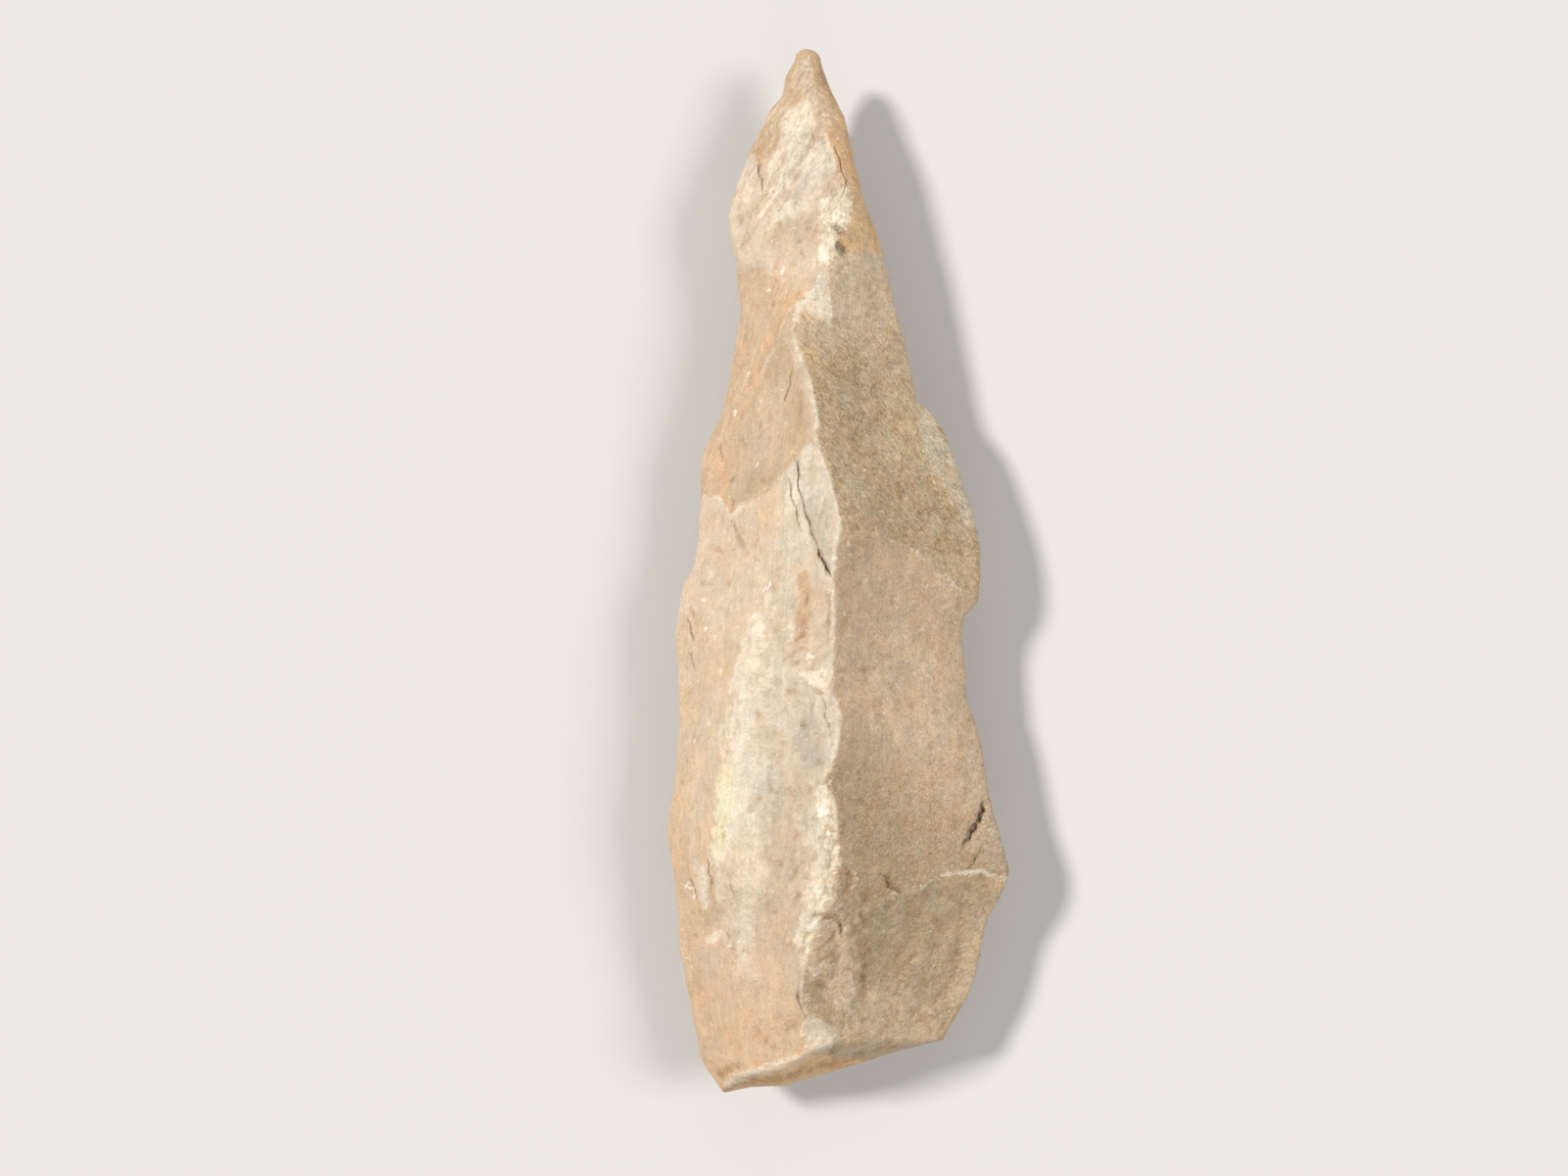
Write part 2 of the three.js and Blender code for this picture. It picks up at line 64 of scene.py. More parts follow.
RIGHT_EDGE = [
    (-8.7, 140, 0), (-4.5, 136.3, 0), (-1.8, 128.4, -0.2), (1.8, 121.6, 0), (3.9, 112.1, -0.1),
    (8.2, 95.8, -0.5), (12.9, 81.1, 0.4), (17.6, 62.6, -0.1), (21.3, 45.5, 0.1), (23.6, 43.8, 0.1),
    (30.3, 33.2, 0.8), (35.3, 18.4, -0.1), (38.4, 3.7, 0.5), (37.9, -6.8, 0), (34.7, -11.8, 0.7),
    (33.4, -17.9, -0.2), (34.7, -29.5, 0), (35.5, -36.8, -0.6), (38.9, -47.9, 0.3), (42.1, -66.3, -0.3),
    (46.1, -80.5, 0.2), (40.5, -92.9, 1), (38.7, -101.8, -0.1), (35, -114.7, 0.4), (28.4, -126.3, 0),
]
BUTT_BOW = [(0, 0), (0.12, -0.2), (0.27, -1.9), (0.54, -0.9), (0.81, 0.4), (0.93, 0.4), (1, 0)]
RIDGE = [
    (-140, -3.5), (-131, -1.6), (-126, -1.2), (-123.2, -2.6), (-121, -7.4), (-118.5, -9.8), (-114, -9.6), (-110, -9.4), (-101, -8.2), (-93, -5.2), (-85, -1.8), (-79, -0.6),
    (-73, 0), (-64, -0.5), (-60, -1.6), (-57.4, -4.2), (-54.5, -3.2), (-50.3, -1), (-44.5, 0.5), (-37.4, 0.3), (-34.5, -0.5),
    (-31.6, -3), (-28.4, -1.2), (-4.7, -1), (-1.6, -1.6), (5.8, -0.5), (13.4, 0.5), (18.2, -0.5), (24, -2.1), (31.6, -4.5),
    (36, -6.3), (39.2, -5.5), (42.9, -5.8), (46.8, -7.1), (51.6, -7.4), (54.2, -9.2), (58.2, -10.3), (61.1, -11.6),
    (64.5, -12.6), (70.5, -10.5), (78.2, -5.3), (81.5, -2.9), (85, -2.3), (90, -1.3), (96.6, 0.8), (104.2, 0.8), (109.7, -0.8),
    (116.6, -2.6), (122.9, -4.5), (128.2, -6), (137.4, -7.1), (141, -8),
]
RIDGE_HEIGHT = [
    (-140, 18), (-125, 20.2), (-110, 22.2), (-93, 24.2), (-70, 26), (-40, 26.6), (-10, 26), (11, 24.6), (32, 22.5),
    (41, 21), (52, 19.1), (67, 16.2), (77, 13.6), (85, 11), (94, 8), (103, 6.2), (112, 5.4), (121, 4.8),
    (127, 4.4), (140, 3.4),
]
RIGHT_LIFT = [(52, 0), (70, 0.5), (85, 1.4), (94, 2.2), (103, 2.7), (112, 2.6), (121, 1.8), (127, 1), (140, 0)]  # the right edge's own rise near the tip
SHOULDER = [
    (-140, -27.5), (-123.2, -25.8), (-110, -24), (-94.2, -25.4), (-83.7, -28.9), (-73.2, -31.1), (-57.4, -29.2),
    (-44.2, -27.6), (-31.1, -26.4), (-20.5, -24.2), (-10, -19.2), (5.8, -15.6), (22.9, -13.4), (35.5, -12),
    (48, -16.5), (60, -18.5), (77, -17), (94, -15.5), (112, -13), (140, -11),
]
SHOULDER_SHARE = [
    (-140, 0.6), (-123, 0.7), (-110, 0.74), (-94.2, 0.72), (-83.7, 0.68), (-73.2, 0.63), (-57.4, 0.655),
    (-44.2, 0.67), (-31.1, 0.7), (-20.5, 0.735), (-10, 0.77), (5.8, 0.8), (22.9, 0.83), (35.5, 0.8), (48, 0.68),
    (60, 0.62), (77, 0.68), (94, 0.84), (106, 0.92), (140, 0.94),
]
FLANK_BOW = [(-140, -0.6), (-100, -1.2), (-60, -0.6), (-20, -0.8), (20, -0.6), (40, 0.6), (60, 0.8), (85, 0.8), (110, 0.5), (140, 0.4)]
TOP_BOW = [(-140, 0), (-90, -0.5), (-60, -0.6), (-20, -0.2), (20, -0.5), (60, 0), (140, 0)]
RIGHT_BOW = [(-140, 0), (-110, -0.9), (-80, -0.9), (-50, -1.2), (-20, -1.3), (5, -1.1), (20, -0.3), (45, 0.7), (60, 1.5), (75, 1.9), (88, 1.1), (100, 0.5), (140, 0.4)]
UNDER_DEPTH = [
    (-140, 14), (-122, 17.2), (-106, 18.35), (-60, 18.55), (0, 18.55), (34, 18.4), (60, 16.6), (85, 13.6), (105, 10.3),
    (122, 7.3), (132, 5.6), (140, 3.8),
]
UNDER_LEFT = [(-140, 0.36), (-100, 0.3), (-60, 0.24), (-20, 0.31), (20, 0.25), (60, 0.33), (100, 0.3), (140, 0.4)]
UNDER_RIGHT = [(-140, 0.66), (-100, 0.7), (-50, 0.76), (-10, 0.67), (30, 0.75), (70, 0.66), (110, 0.7), (140, 0.6)]
# flake scars: side, centre, half length, half width, direction, depth, sharpness
SCARS = [
    ("L", -28.9, 66.3, 30, 15, 62, 0.9, 2), ("L", -8.7, 58.4, 26, 9, 68, 1.2, 2), ("L", -14.5, -11.3, 17, 8.5, 90, 1.1, 2.2),
    ("L", -14.5, -57.4, 29, 13.5, 90, 1.9, 2.4), ("L", -27.1, -112.6, 28, 19, 92, 2, 2.2), ("L", -37.6, -57.4, 24, 7, 88, 1, 2),
    ("L", -30.3, 5.8, 14, 8, 80, 0.8, 2), ("R", 10, -42.1, 52, 42, 92, 1.2, 4.5), ("R", 28.2, -110, 28.5, 27, 92, 2.6, 2.2),
    ("R", 42.1, -52.1, 20, 9, 80, 1, 2), ("R", 38.2, -17.9, 12, 10, 80, 1.2, 2), ("R", 0.8, -110, 22, 7, 88, 1, 2.2),
    ("R", 13.2, 42.6, 36, 12, 106, 0.7, 2),
]
# crests between scars: side, height, reach left of its direction, reach right, bends
CRESTS = {
    "diagonal": ("L", 1, 9, 9, [(-2.4, 81.6), (-12.9, 70.3), (-21.1, 50.5), (-28.9, 33.4)]),
    "ragged": ("L", 0.75, 3.2, 15, [(-32.6, 21.5), (-31.6, 19.3), (-29.5, 14.3), (-24.8, 17.4), (-18.6, 21.8), (-12.4, 29.2), (-6.8, 35.1)]),
    "hinge": ("L", 0.9, 2.4, 12, [(-20, -26.1), (-10.5, -27.1), (-4.7, -30.3), (-0.3, -33.9)]),
    "left_rib": ("L", 0.6, 1.4, 6, [(-41, -6), (-40.3, -10.8), (-38.9, -17.9), (-39.2, -22.9), (-37.9, -28.7), (-38.2, -34.5), (-40, -44)]),
    "low_left": ("L", 0.8, 12, 3, [(-43.9, -78.4), (-36.8, -81.8), (-28.9, -82.9), (-21.1, -85), (-14.5, -90.3)]),
    "flank_a": ("L", 0.6, 7, 5, [(-29, 8), (-33, -6), (-36, -26), (-37, -46)]),
    "flank_b": ("L", 0.5, 6, 5, [(-33, -46), (-38, -62), (-42, -74)]),
    "tip_a": ("L", 0.7, 5, 6, [(-17.1, 124.2), (-10.5, 119.5), (-3.4, 113.7), (-0.8, 107.1)]),
    "tip_b": ("L", 0.8, 5, 5, [(-28.9, 96.6), (-21.1, 101.8), (-14.5, 109.7), (-8.7, 119.5)]),
    "tip_c": ("L", 0.7, 6, 5, [(-31.6, 83.4), (-22.4, 84.2), (-12.9, 87.4), (-2.4, 93.9)]),
    "arc": ("R", 0.7, 25, 5, [(0.8, 11.1), (7.9, 10.3), (18.4, 6.8), (28.9, -2.1), (38.9, -8.9)]),
    "white_arc": ("R", 0.8, 4, 12, [(45.8, -82.9), (41.8, -81.8), (38.2, -80.8), (34.5, -81.3), (28.9, -81.6), (26.1, -82.4), (23.4, -84.7), (15.8, -87.6), (6.8, -92.4)]),
    "step_rib": ("R", 0.8, 1.6, 5, [(2.6, -95.3), (3.9, -99.7), (5, -106.3), (3.9, -111.8)]),
    "lens": ("R", 0.7, 5, 1.6, [(-0.5, -79.5), (2.6, -78.9), (5.5, -81.3), (5.8, -84.2), (4.5, -86.6)]),
    "pale_facet": ("R", 1.3, 9, 7, [(-2.9, 81), (-2.2, 74), (-1.6, 66.3)]),
    "oval": ("R", 0.5, 3, 1.3, [(-6.5, -92.5), (-2.5, -91.4), (1.2, -92.8), (2.6, -97), (2.2, -103), (-1, -106.5), (-6, -107)]),
    "step_shelf": ("R", 1.1, 7, 8, [(-2.2, -87), (0.4, -95), (1, -104), (-1.4, -113)]),
    "brown_rib": ("R", 0.5, 10, 8, [(24, 42), (16, 30), (9, 22)]),
}
UNDER_SCARS = [
    (-34, 8, 20, 13, 15, 1.6), (-36, -34, 20, 17, 170, 1.8), (-34, -84, 22, 20, 10, 2), (-22, 52, 20, 14, 20, 1.4),
    (-20, 92, 16, 13, 30, 1.2), (30, -6, 20, 15, 165, 1.7), (31, -48, 18, 18, 5, 1.8), (32, -94, 21, 19, 175, 2),
    (20, 40, 18, 15, 160, 1.4), (6, 84, 14, 16, 150, 1.2), (-6, -118, 16, 18, 90, 1.4),
]
# open cracks: depth, half width, step across it, darkness of the painted shade in it, bends
CRACKS = {
    "slab": (0.6, 0.32, 0.8, 0.6, [(-12.2, 31.5), (-11.0, 28.9), (-10.6, 26.2), (-10.9, 22.6), (-9.4, 18.6), (-9.0, 15.4), (-7.6, 12.6), (-7.2, 9.8), (-5.7, 7.2), (-5.2, 4.6)]),
    "slab_end": (1.2, 0.65, 0.9, 0.95, [(-5.6, 6.4), (-4.9, 3.6), (-3.6, 2.0), (-3.1, 0.4), (-1.5, -2.0)]),
    "tip": (0.7, 0.45, 0.5, 0.4, [(-21.8, 109.5), (-21.2, 108), (-21.5, 106.5), (-20.2, 104.9), (-20.5, 103.2), (-19.8, 101.3)]),
    "facet": (0.4, 0.3, 0.3, 0.45, [(-12.2, 54.6), (-12.9, 51.4), (-12.8, 49.8), (-13.9, 47.2), (-14.7, 44.5)]),
    "blue": (0.5, 0.35, 0.3, 0.5, [(-4.4, -33.6), (-3.4, -36.4), (-3.6, -39.2), (-2.2, -42.0), (-1.8, -45.6)]),
    "edge_a": (0.6, 0.4, 0.3, 0.6, [(-40.6, -12.2), (-39.6, -14.6), (-39.5, -16.6), (-38.3, -19.4)]),
    "wide": (1.5, 0.75, 1.0, 0.95, [(39.3, -61.6), (38.5, -63.0), (38.9, -64.5), (37.7, -65.5), (38.0, -67.1), (36.6, -67.9), (36.9, -69.5), (35.4, -70.2), (35.3, -71.9), (33.9, -72.6), (33.3, -74.8)]),
    "low_a": (0.6, 0.45, 0.6, 0.75, [(10.5, -81.3), (12.9, -82.4), (13.4, -84.8), (15.2, -85.6), (17.4, -87.0)]),
    "low_b": (0.9, 0.4, 0.8, 0.55, [(-4.6, -92.5), (-3.2, -93.6), (-1.6, -93.2), (-0.2, -94.4), (0.7, -95.6), (0.6, -97.2), (1.5, -98.9)]),
    "step_line": (0.3, 0.28, 0.3, 0.4, [(2.4, -99.2), (3.9, -102.2), (4.3, -105.6), (4.0, -108.4), (4.6, -111)]),
    "lens_line": (0.25, 0.25, 0.3, 0.3, [(1.2, -78.4), (3.4, -78.9), (5.2, -80.6), (5.7, -83.2), (4.9, -85.8)]),
    "tip_step": (0.3, 0.22, 0.7, 0.12, [(-1.6, 115.2), (-0.7, 112.4), (0.5, 109.9), (0.7, 107.2), (2.2, 104.6), (1.4, 101.6), (-0.1, 98.9)]),
    "tip_slit": (0.3, 0.3, 0.1, 0.35, [(-6.7, 117.2), (-6.2, 115.6), (-6.6, 113.9)]),
    "low_d": (0.5, 0.4, 0.5, 0.45, [(-11, -112.6), (-10.9, -115), (-9.6, -118.2), (-7.9, -121)]),
    "chip_a": (0.5, 0.32, 0.4, 0.55, [(-35.2, -76.6), (-34.6, -79.2), (-34.8, -81.2), (-33.8, -83.4), (-34.6, -86.2)]),
    "chip_c": (0.4, 0.3, 0.3, 0.45, [(-39.8, -82.2), (-39.2, -84.0), (-38.3, -85.6), (-38.2, -87.4), (-37.3, -89.1)]),
    "chip_d": (0.3, 0.3, 0.2, 0.35, [(-29.1, -83.6), (-28.7, -85.4), (-28.0, -86.6), (-28.1, -88.4)]),
    "chip_e": (0.3, 0.28, 0.2, 0.35, [(-23.8, -76.6), (-23.4, -78.8), (-23.9, -81.2)]),
    "chip_f": (0.3, 0.28, 0.2, 0.4, [(-30.0, -97.4), (-29.2, -98.6), (-29.6, -100.2)]),
    "chip_b": (0.3, 0.3, 0.2, 0.3, [(-31.6, 34.2), (-31.5, 31.6), (-30.8, 28.9)]),
    "wide_c": (0.8, 0.5, 0.5, 0.8, [(38.2, -64.8), (37.1, -67.4), (35.2, -69.2), (34.4, -71.4)]),
    "slab_twin": (0.4, 0.35, 0.5, 0.5, [(-13.9, 26.1), (-12.7, 22.8), (-12.6, 19.4), (-11.2, 16.6), (-11.0, 13.4), (-9.4, 9.6)]),
    "edge_b": (0.5, 0.35, 0.3, 0.35, [(-39.7, -21.6), (-39.1, -24.7), (-37.9, -27.4)]),
    "wide_b": (0.6, 0.45, 0.7, 0.45, [(39.2, -73.6), (37.1, -76.2), (36.3, -78.4), (34.3, -80.6)]),
    "low_c": (0.5, 0.35, 0.6, 0.7, [(5.9, -91.0), (6.2, -93), (7.2, -94.8)]),
}
SECOND_CRACKS = ("slab_twin", "wide_c", "edge_b", "wide_b", "low_c")  # those that run close beside another
PITS = [(-0.8, 92.4, 1.3, 0.9), (1.1, 90.3, 1.2, 0.9), (0.8, 87.0, 1.8, 1.1), (2.4, 85.5, 1.2, 0.7), (-4.2, 122.9, 0.8, 0.5)]


# ---------------------------------------------------------------- working-out functions
def clamp(x, a=0.0, b=1.0):
    return np.minimum(np.maximum(x, a), b)


def step(a, b, x):
    t = clamp((x - a) / (b - a))
    return t * t * (3 - 2 * t)


def soft_min(a, b, k):
    h = np.maximum(k - np.abs(a - b), 0) / k
    return np.minimum(a, b) - h * h * k / 4


def along(table, v):
    return np.interp(v, [p[0] for p in table], [p[1] for p in table])


def eased(table, v, reach):
    total = 0
    for k, w in ((-1, 1), (-0.5, 2), (0, 3), (0.5, 2), (1, 1)):
        total = total + w * along(table, v + k * reach)
    return total / 9


def edge_at(cusps, v):
    low = cusps[::-1]
    V = np.array([c[1] for c in low], float)
    U = np.array([c[0] for c in low], float)
    B = np.array([c[2] for c in low], float)
    i = np.clip(np.searchsorted(V, v, side="right") - 1, 0, len(V) - 2)
    q = clamp((v - V[i]) / (V[i + 1] - V[i]))
    arc = U[i] + (U[i + 1] - U[i]) * q + B[i] * 4 * q * (1 - q)
    tip = U[i + 1] + (U[i] - U[i + 1]) * np.sqrt(1 - q * q)
    return np.where(i == len(V) - 2, tip, arc)


def outline(cusps, tip):
    return [(c[1], c[0]) for c in cusps if c[1] < 133][::-1] + [(141, tip)]


LEFT_LINE = outline(LEFT_EDGE, -12.5)
RIGHT_LINE = [(-140, 22)] + outline(RIGHT_EDGE, -4)


def nearest(bends, u, v):
    """Distance to a line of bends, its side (+1 is left of its direction), share along it."""
    best = np.full(np.shape(u), 1e9)
    side = np.zeros(np.shape(u))
    share = np.zeros(np.shape(u))
    n = len(bends) - 1
    for k in range(n):
        ax, ay = bends[k]
        dx, dy = bends[k + 1][0] - ax, bends[k + 1][1] - ay
        q = clamp(((u - ax) * dx + (v - ay) * dy) / (dx * dx + dy * dy))
        r = np.hypot(u - ax - q * dx, v - ay - q * dy)
        s = np.sign(dx * (v - ay) - dy * (u - ax))
        m = r < best
        best, side, share = np.where(m, r, best), np.where(m, s, side), np.where(m, (k + q) / n, share)
    return best, side, share


def hashed(ix, iy, seed):
    h = (ix.astype(np.int64) * 374761393 + iy.astype(np.int64) * 668265263 + seed * 974634777) & 0xFFFFFFFF
    h = ((h ^ (h >> 13)) * 1274126177) & 0xFFFFFFFF
    h = ((h ^ (h >> 15)) * 2246822519) & 0xFFFFFFFF
    return ((h ^ (h >> 16)) & 0xFFFF) / 32767.5 - 1.0


def noise(u, v, size, seed):
    """Smooth noise from -1 to 1 with cells of the given size."""
    x, y = u / size + 1000.0, v / size + 1000.0
    ix, iy = np.floor(x), np.floor(y)
    fx, fy = x - ix, y - iy
    fx, fy = fx * fx * fx * (fx * (fx * 6 - 15) + 10), fy * fy * fy * (fy * (fy * 6 - 15) + 10)
    a, b = hashed(ix, iy, seed), hashed(ix + 1, iy, seed)
    c, d = hashed(ix, iy + 1, seed), hashed(ix + 1, iy + 1, seed)
    return (a + (b - a) * fx) * (1 - fy) + (c + (d - c) * fx) * fy


def rough(u, v, size, octaves, seed, gain=0.5):
    total, amp, norm = 0, 1.0, 0.0
    for k in range(octaves):
        c, s = math.cos(0.7 * k + 0.3), math.sin(0.7 * k + 0.3)
        total = total + amp * noise(u * c - v * s, u * s + v * c, size / 2**k, seed + 17 * k)
        norm += amp
        amp *= gain
    return total / norm


def turned(u, v, degrees):
    c, s = math.cos(math.radians(degrees)), math.sin(math.radians(degrees))
    return u * c + v * s, v * c - u * s


def blob(u, v, cu, cv, a, b, degrees=0.0, soft=0.35):
    """1 inside an ellipse, falling to 0 over its rim."""
    x, y = turned(u - cu, v - cv, degrees)
    r = np.hypot(x / a, y / b)
    return 1 - step(1 - soft, 1 + soft, r)


def scoop(u, v, cu, cv, a, b, degrees, depth, power):
    x, y = turned(u - cu, v - cv, degrees)
    return depth * np.maximum(1 - np.hypot(x / a, y / b) ** power, 0)


def relief(side, u, v):
    raised = 0 * u
    u0, v0 = u, v
    u = u + 0.8 * rough(u0, v0, 6, 2, 611)
    v = v + 0.8 * rough(u0, v0, 6, 2, 631)
    wane = 0.85 + 0.5 * noise(u0, v0, 9, 641)
    for name, (s, height, left, right, bends) in CRESTS.items():
        if s != side:
            continue
        r, sign, share = nearest(bends, u, v)
        ends = step(0, 0.12, share) * step(0, 0.12, 1 - share)
        raised = raised + height * np.maximum(1 - r / np.where(sign > 0, left, right), 0) ** 1.3 * (0.25 + 0.75 * ends) * wane
    cut = 0 * u
    for s, cu, cv, a, b, degrees, depth, power in SCARS:
        if s == side:
            cut = np.maximum(cut, scoop(u, v, cu, cv, a, b, degrees, depth, power))
    return raised - cut


def right_face(u, v):
    edge, ridge = eased(RIGHT_LINE, v, 9), eased(RIDGE, v, 10)
    q = (edge - u) / (edge - ridge)
    qc = clamp(q)
    rise = eased(RIGHT_LIFT, v, 5)
    high = eased(RIDGE_HEIGHT, v, 5)
    h = rise + (high - rise) * q + eased(RIGHT_BOW, v, 8) * 4 * qc * (1 - qc)
    return soft_min(h, high + 0.4, 1.5) + relief("R", u, v)


def left_face(u, v):
    edge, ridge = eased(LEFT_LINE, v, 9), eased(RIDGE, v, 10)
    shoulder = np.minimum(eased(SHOULDER, v, 5), ridge - 3)
    high = eased(RIDGE_HEIGHT, v, 5)
    low = high * eased(SHOULDER_SHARE, v, 4)
    q, w = (u - edge) / (shoulder - edge), (u - shoulder) / (ridge - shoulder)
    qc, wc = clamp(q), clamp(w)
    flank = low * q + eased(FLANK_BOW, v, 8) * 4 * qc * (1 - qc)
    top = low + (high - low) * w + eased(TOP_BOW, v, 8) * 4 * wc * (1 - wc)
    return soft_min(flank, top, 2.2) + relief("L", u, v)


def ridge_at(v):
    return eased(RIDGE, v, 1.2)


def butt_reach(u, v):
    share = clamp((u + 30.3) / 58.7)
    return v - (-HALF + BUTT_RISE * share + along(BUTT_BOW, share))


def upper(u, v):
    ridge = ridge_at(v)
    left = left_face(u, v) + (right_face(ridge, v) - left_face(ridge, v)) * np.exp(-np.maximum(ridge - u, 0) / ARRIS_FADE)
    h = np.where(u < ridge, left, right_face(u, v))
    return soft_min(h, 0.6 + along(BUTT_SLOPE, u) * butt_reach(u, v), 1)


def under(u, v):
    left, right = eased(LEFT_LINE, v, 9), eased(RIGHT_LINE, v, 9)
    share = (u - left) / (right - left)
    a, b = eased(UNDER_LEFT, v, 14), eased(UNDER_RIGHT, v, 14)
    middle = 1 - UNDER_CURVE * clamp(np.abs((2 * share - a - b) / (b - a)), 0, 2) ** 2
    d = eased(UNDER_DEPTH, v, 8) * soft_min(soft_min(0.9 * share / a, 0.9 * (1 - share) / (1 - b), 0.1), middle, 0.08)
    cut = 0 * u
    for cu, cv, p, q, degrees, depth in UNDER_SCARS:
        cut = np.maximum(cut, scoop(u, v, cu, cv, p, q, degrees, 1.35 * depth, 2.6))
    return soft_min(d - cut, UNDER_BUTT_SLOPE * butt_reach(u, v), 1.5)


def cracks(u, v):
    """Height change and painted shade of the open cracks."""
    drop, dark = 0 * u, 0 * u
    for depth, half, lip, _, bends in CRACKS.values():
        r, sign, share = nearest(bends, u, v)
        taper = step(-0.02, 0.2, share) * step(-0.02, 0.2, 1 - share)
        w = half * (0.55 + 0.45 * taper) * (1 + 0.35 * noise(u, v, 1.6, 5))
        drop = np.maximum(drop, depth * taper * np.maximum(1 - r / w, 0) ** 0.7)
        dark = np.maximum(dark, taper * (1 - step(0.2, 1.15, r / w)))
        near = taper * np.maximum(1 - r / (half * 7), 0) ** 2
        drop = drop + np.where(sign > 0, lip, -lip) * near * 0.5
    return drop, dark


def fine_upper(u, v):
    """Small relief of the ridged face, mostly inward: flake ripples, rough breaks, grain."""
    ridge = ridge_at(v)
    right = step(-0.5, 1.5, u - ridge)
    left_side = 1 - right
    brown = right * step(6, 12, v + 0.42 * np.maximum(u - 12, 0)) * (1 - step(78, 96, v))
    smooth_scar = right * (1 - step(4, 10, v + 0.42 * np.maximum(u - 12, 0))) * step(-92, -84, v)
    tip_zone = step(80, 92, v) * (1 - step(122, 130, v)) * (0.35 + 0.65 * left_side)
    steps_zone = blob(u, v, -1.5, -97, 24, 11, 95, 0.4)
    low_right = right * (1 - step(-88, -80, v))
    h = (0.32 + 0.24 * left_side) * rough(u, v, 16, 2, 3) + (0.19 + 0.19 * left_side) * rough(u, v, 5.5, 3, 31)
    h = h * (1 - 0.4 * smooth_scar)
    h = h + 0.15 * rough(u, v, 2.1, 2, 57) * (1 + 0.35 * smooth_scar + 0.9 * brown + 1.0 * tip_zone + 0.5 * low_right + 0.3 * left_side)
    # faint ripples of the big scar and of the low one, arcs around points beyond the edge
    ring = np.hypot(u - 78, v + 44)
    h = h + smooth_scar * 0.05 * np.sin(ring * 0.5 + 3.2 * rough(u, v, 16, 3, 71)) * (0.5 + 0.5 * noise(u, v, 22, 79))
    ring = np.hypot(u - 66, v + 122)
    h = h + low_right * 0.09 * np.sin(ring * 0.8 + 2.6 * rough(u, v, 10, 3, 73))
    # diagonal flow of the broken tip and of the long band below it
    x, y = turned(u, v, 57)
    h = h + tip_zone * (0.85 * rough(x * 0.3, y, 4.2, 3, 91) + 0.4 * np.abs(rough(x * 0.6, y, 2.4, 3, 97)))
    x, y = turned(u, v, 64)
    h = h + left_side * step(20, 34, v) * (1 - step(78, 92, v)) * 0.36 * rough(x * 0.16, y, 3.4, 3, 103)
    x, y = turned(u, v, 20)
    h = h + low_right * 0.15 * rough(x * 0.3, y, 3.0, 3, 107)
    # stepped breaks beside the lower ridge
    terr = rough(u * 1.2, v * 0.8, 7, 3, 111) * 3.2
    h = h + steps_zone * 0.42 * (np.floor(terr) + step(0.4, 0.6, terr - np.floor(terr)) - terr * 0.6)
    # flaky upper end of the scar between the two ridges
    pink = left_side * blob(u, v, -7, -18, 13, 6, 90, 0.4)
    ring = np.hypot(u + 18, v + 4)
    h = h + pink * 0.12 * np.sin(ring * 2.2 + 2.2 * rough(u, v, 8, 2, 117))
    # chips along the main ridge and the second ridge
    near = np.exp(-((u - ridge + 0.5) / 1.7) ** 2)
    bite = 0.5 + 0.5 * step(-0.2, 0.5, noise(0 * u, v, 11, 127))
    low_ridge = 1 + 1.3 * (1 - step(-62, -54, v)) * step(-112, -98, v)
    h = h - near * bite * (0.30 + 0.62 * rough(u, v, 2.6, 3, 131, 0.6)) * low_ridge
    shoulder = eased(SHOULDER, v, 3)
    near = np.exp(-((u - shoulder) / 2.2) ** 2) * (v < 30)
    h = h - near * (0.2 + 0.38 * rough(u, v, 3.4, 2, 137))
    left = edge_at(LEFT_EDGE, clamp(v, -139.9, 139.9))
    nick = np.exp(-np.maximum(u - left, 0) / 2.6)
    h = h - nick * 0.4 * rough(u, v, 3.1, 2, 151)
    for cu, cv, r, d in PITS:
        h = h - d * np.exp(-(((u - cu) ** 2 + (v - cv) ** 2) / r**2) ** 1.5)
    return h - 0.1


def fine_under(u, v):
    h = 0.5 * rough(u, v, 17, 2, 203) + 0.26 * rough(u, v, 5, 3, 231) + 0.14 * rough(u, v, 1.9, 2, 257)
    for k, (cu, cv, p, q, degrees, depth) in enumerate(UNDER_SCARS):
        ring = np.hypot(u - cu * 1.9, v - cv)
        h = h + 0.10 * blob(u, v, cu, cv, p, q, degrees, 0.2) * np.sin(ring * 0.8 + k + 1.5 * rough(u, v, 9, 2, 271))
    return h


# ---------------------------------------------------------------- the skin
def place(t, s):
    lv, rv = -HALF + LENGTH * t, -HALF + BUTT_RISE + (LENGTH - BUTT_RISE) * t
    lu, ru = edge_at(LEFT_EDGE, lv), edge_at(RIGHT_EDGE, rv)
    # small nicks between the cusps
    fade = step(0, 6, HALF - np.maximum(lv, rv)) * step(0, 3, t * LENGTH)
    lu = lu + fade * (0.28 * rough(lv, 0 * lv, 4.2, 3, 301) + 0.12)
    ru = ru - fade * (0.28 * rough(rv, 0 * rv + 9, 4.2, 3, 331) + 0.12)
    u = lu + (ru - lu) * s
    v = lv + (rv - lv) * s + along(BUTT_BOW, s) * clamp(1 - t / 0.14)
    return u, v, ru - lu


def share_of(line, t, low, high):
    s = 0 * t + 0.5
    lu = place(t, 0 * t)[0]
    for _ in range(8):
        _, v, width = place(t, s)
        s = clamp((line(v) - lu) / width, low, high)
    return s


def lift(u, v, h):
    k = 1 - np.maximum(h, 0) / VIEW[2]
    return VIEW[0] + (u - VIEW[0]) * k, VIEW[1] + (v - VIEW[1]) * k


def blunt(distance):
    d = clamp(distance / EDGE_COLUMN)
    return BLUNT * np.sqrt(1 - (1 - d) ** 2)


def edge_height(u, v):
    return clamp(upper(u, v), -2.2, 3.2) * step(0.3, 9, HALF - v)


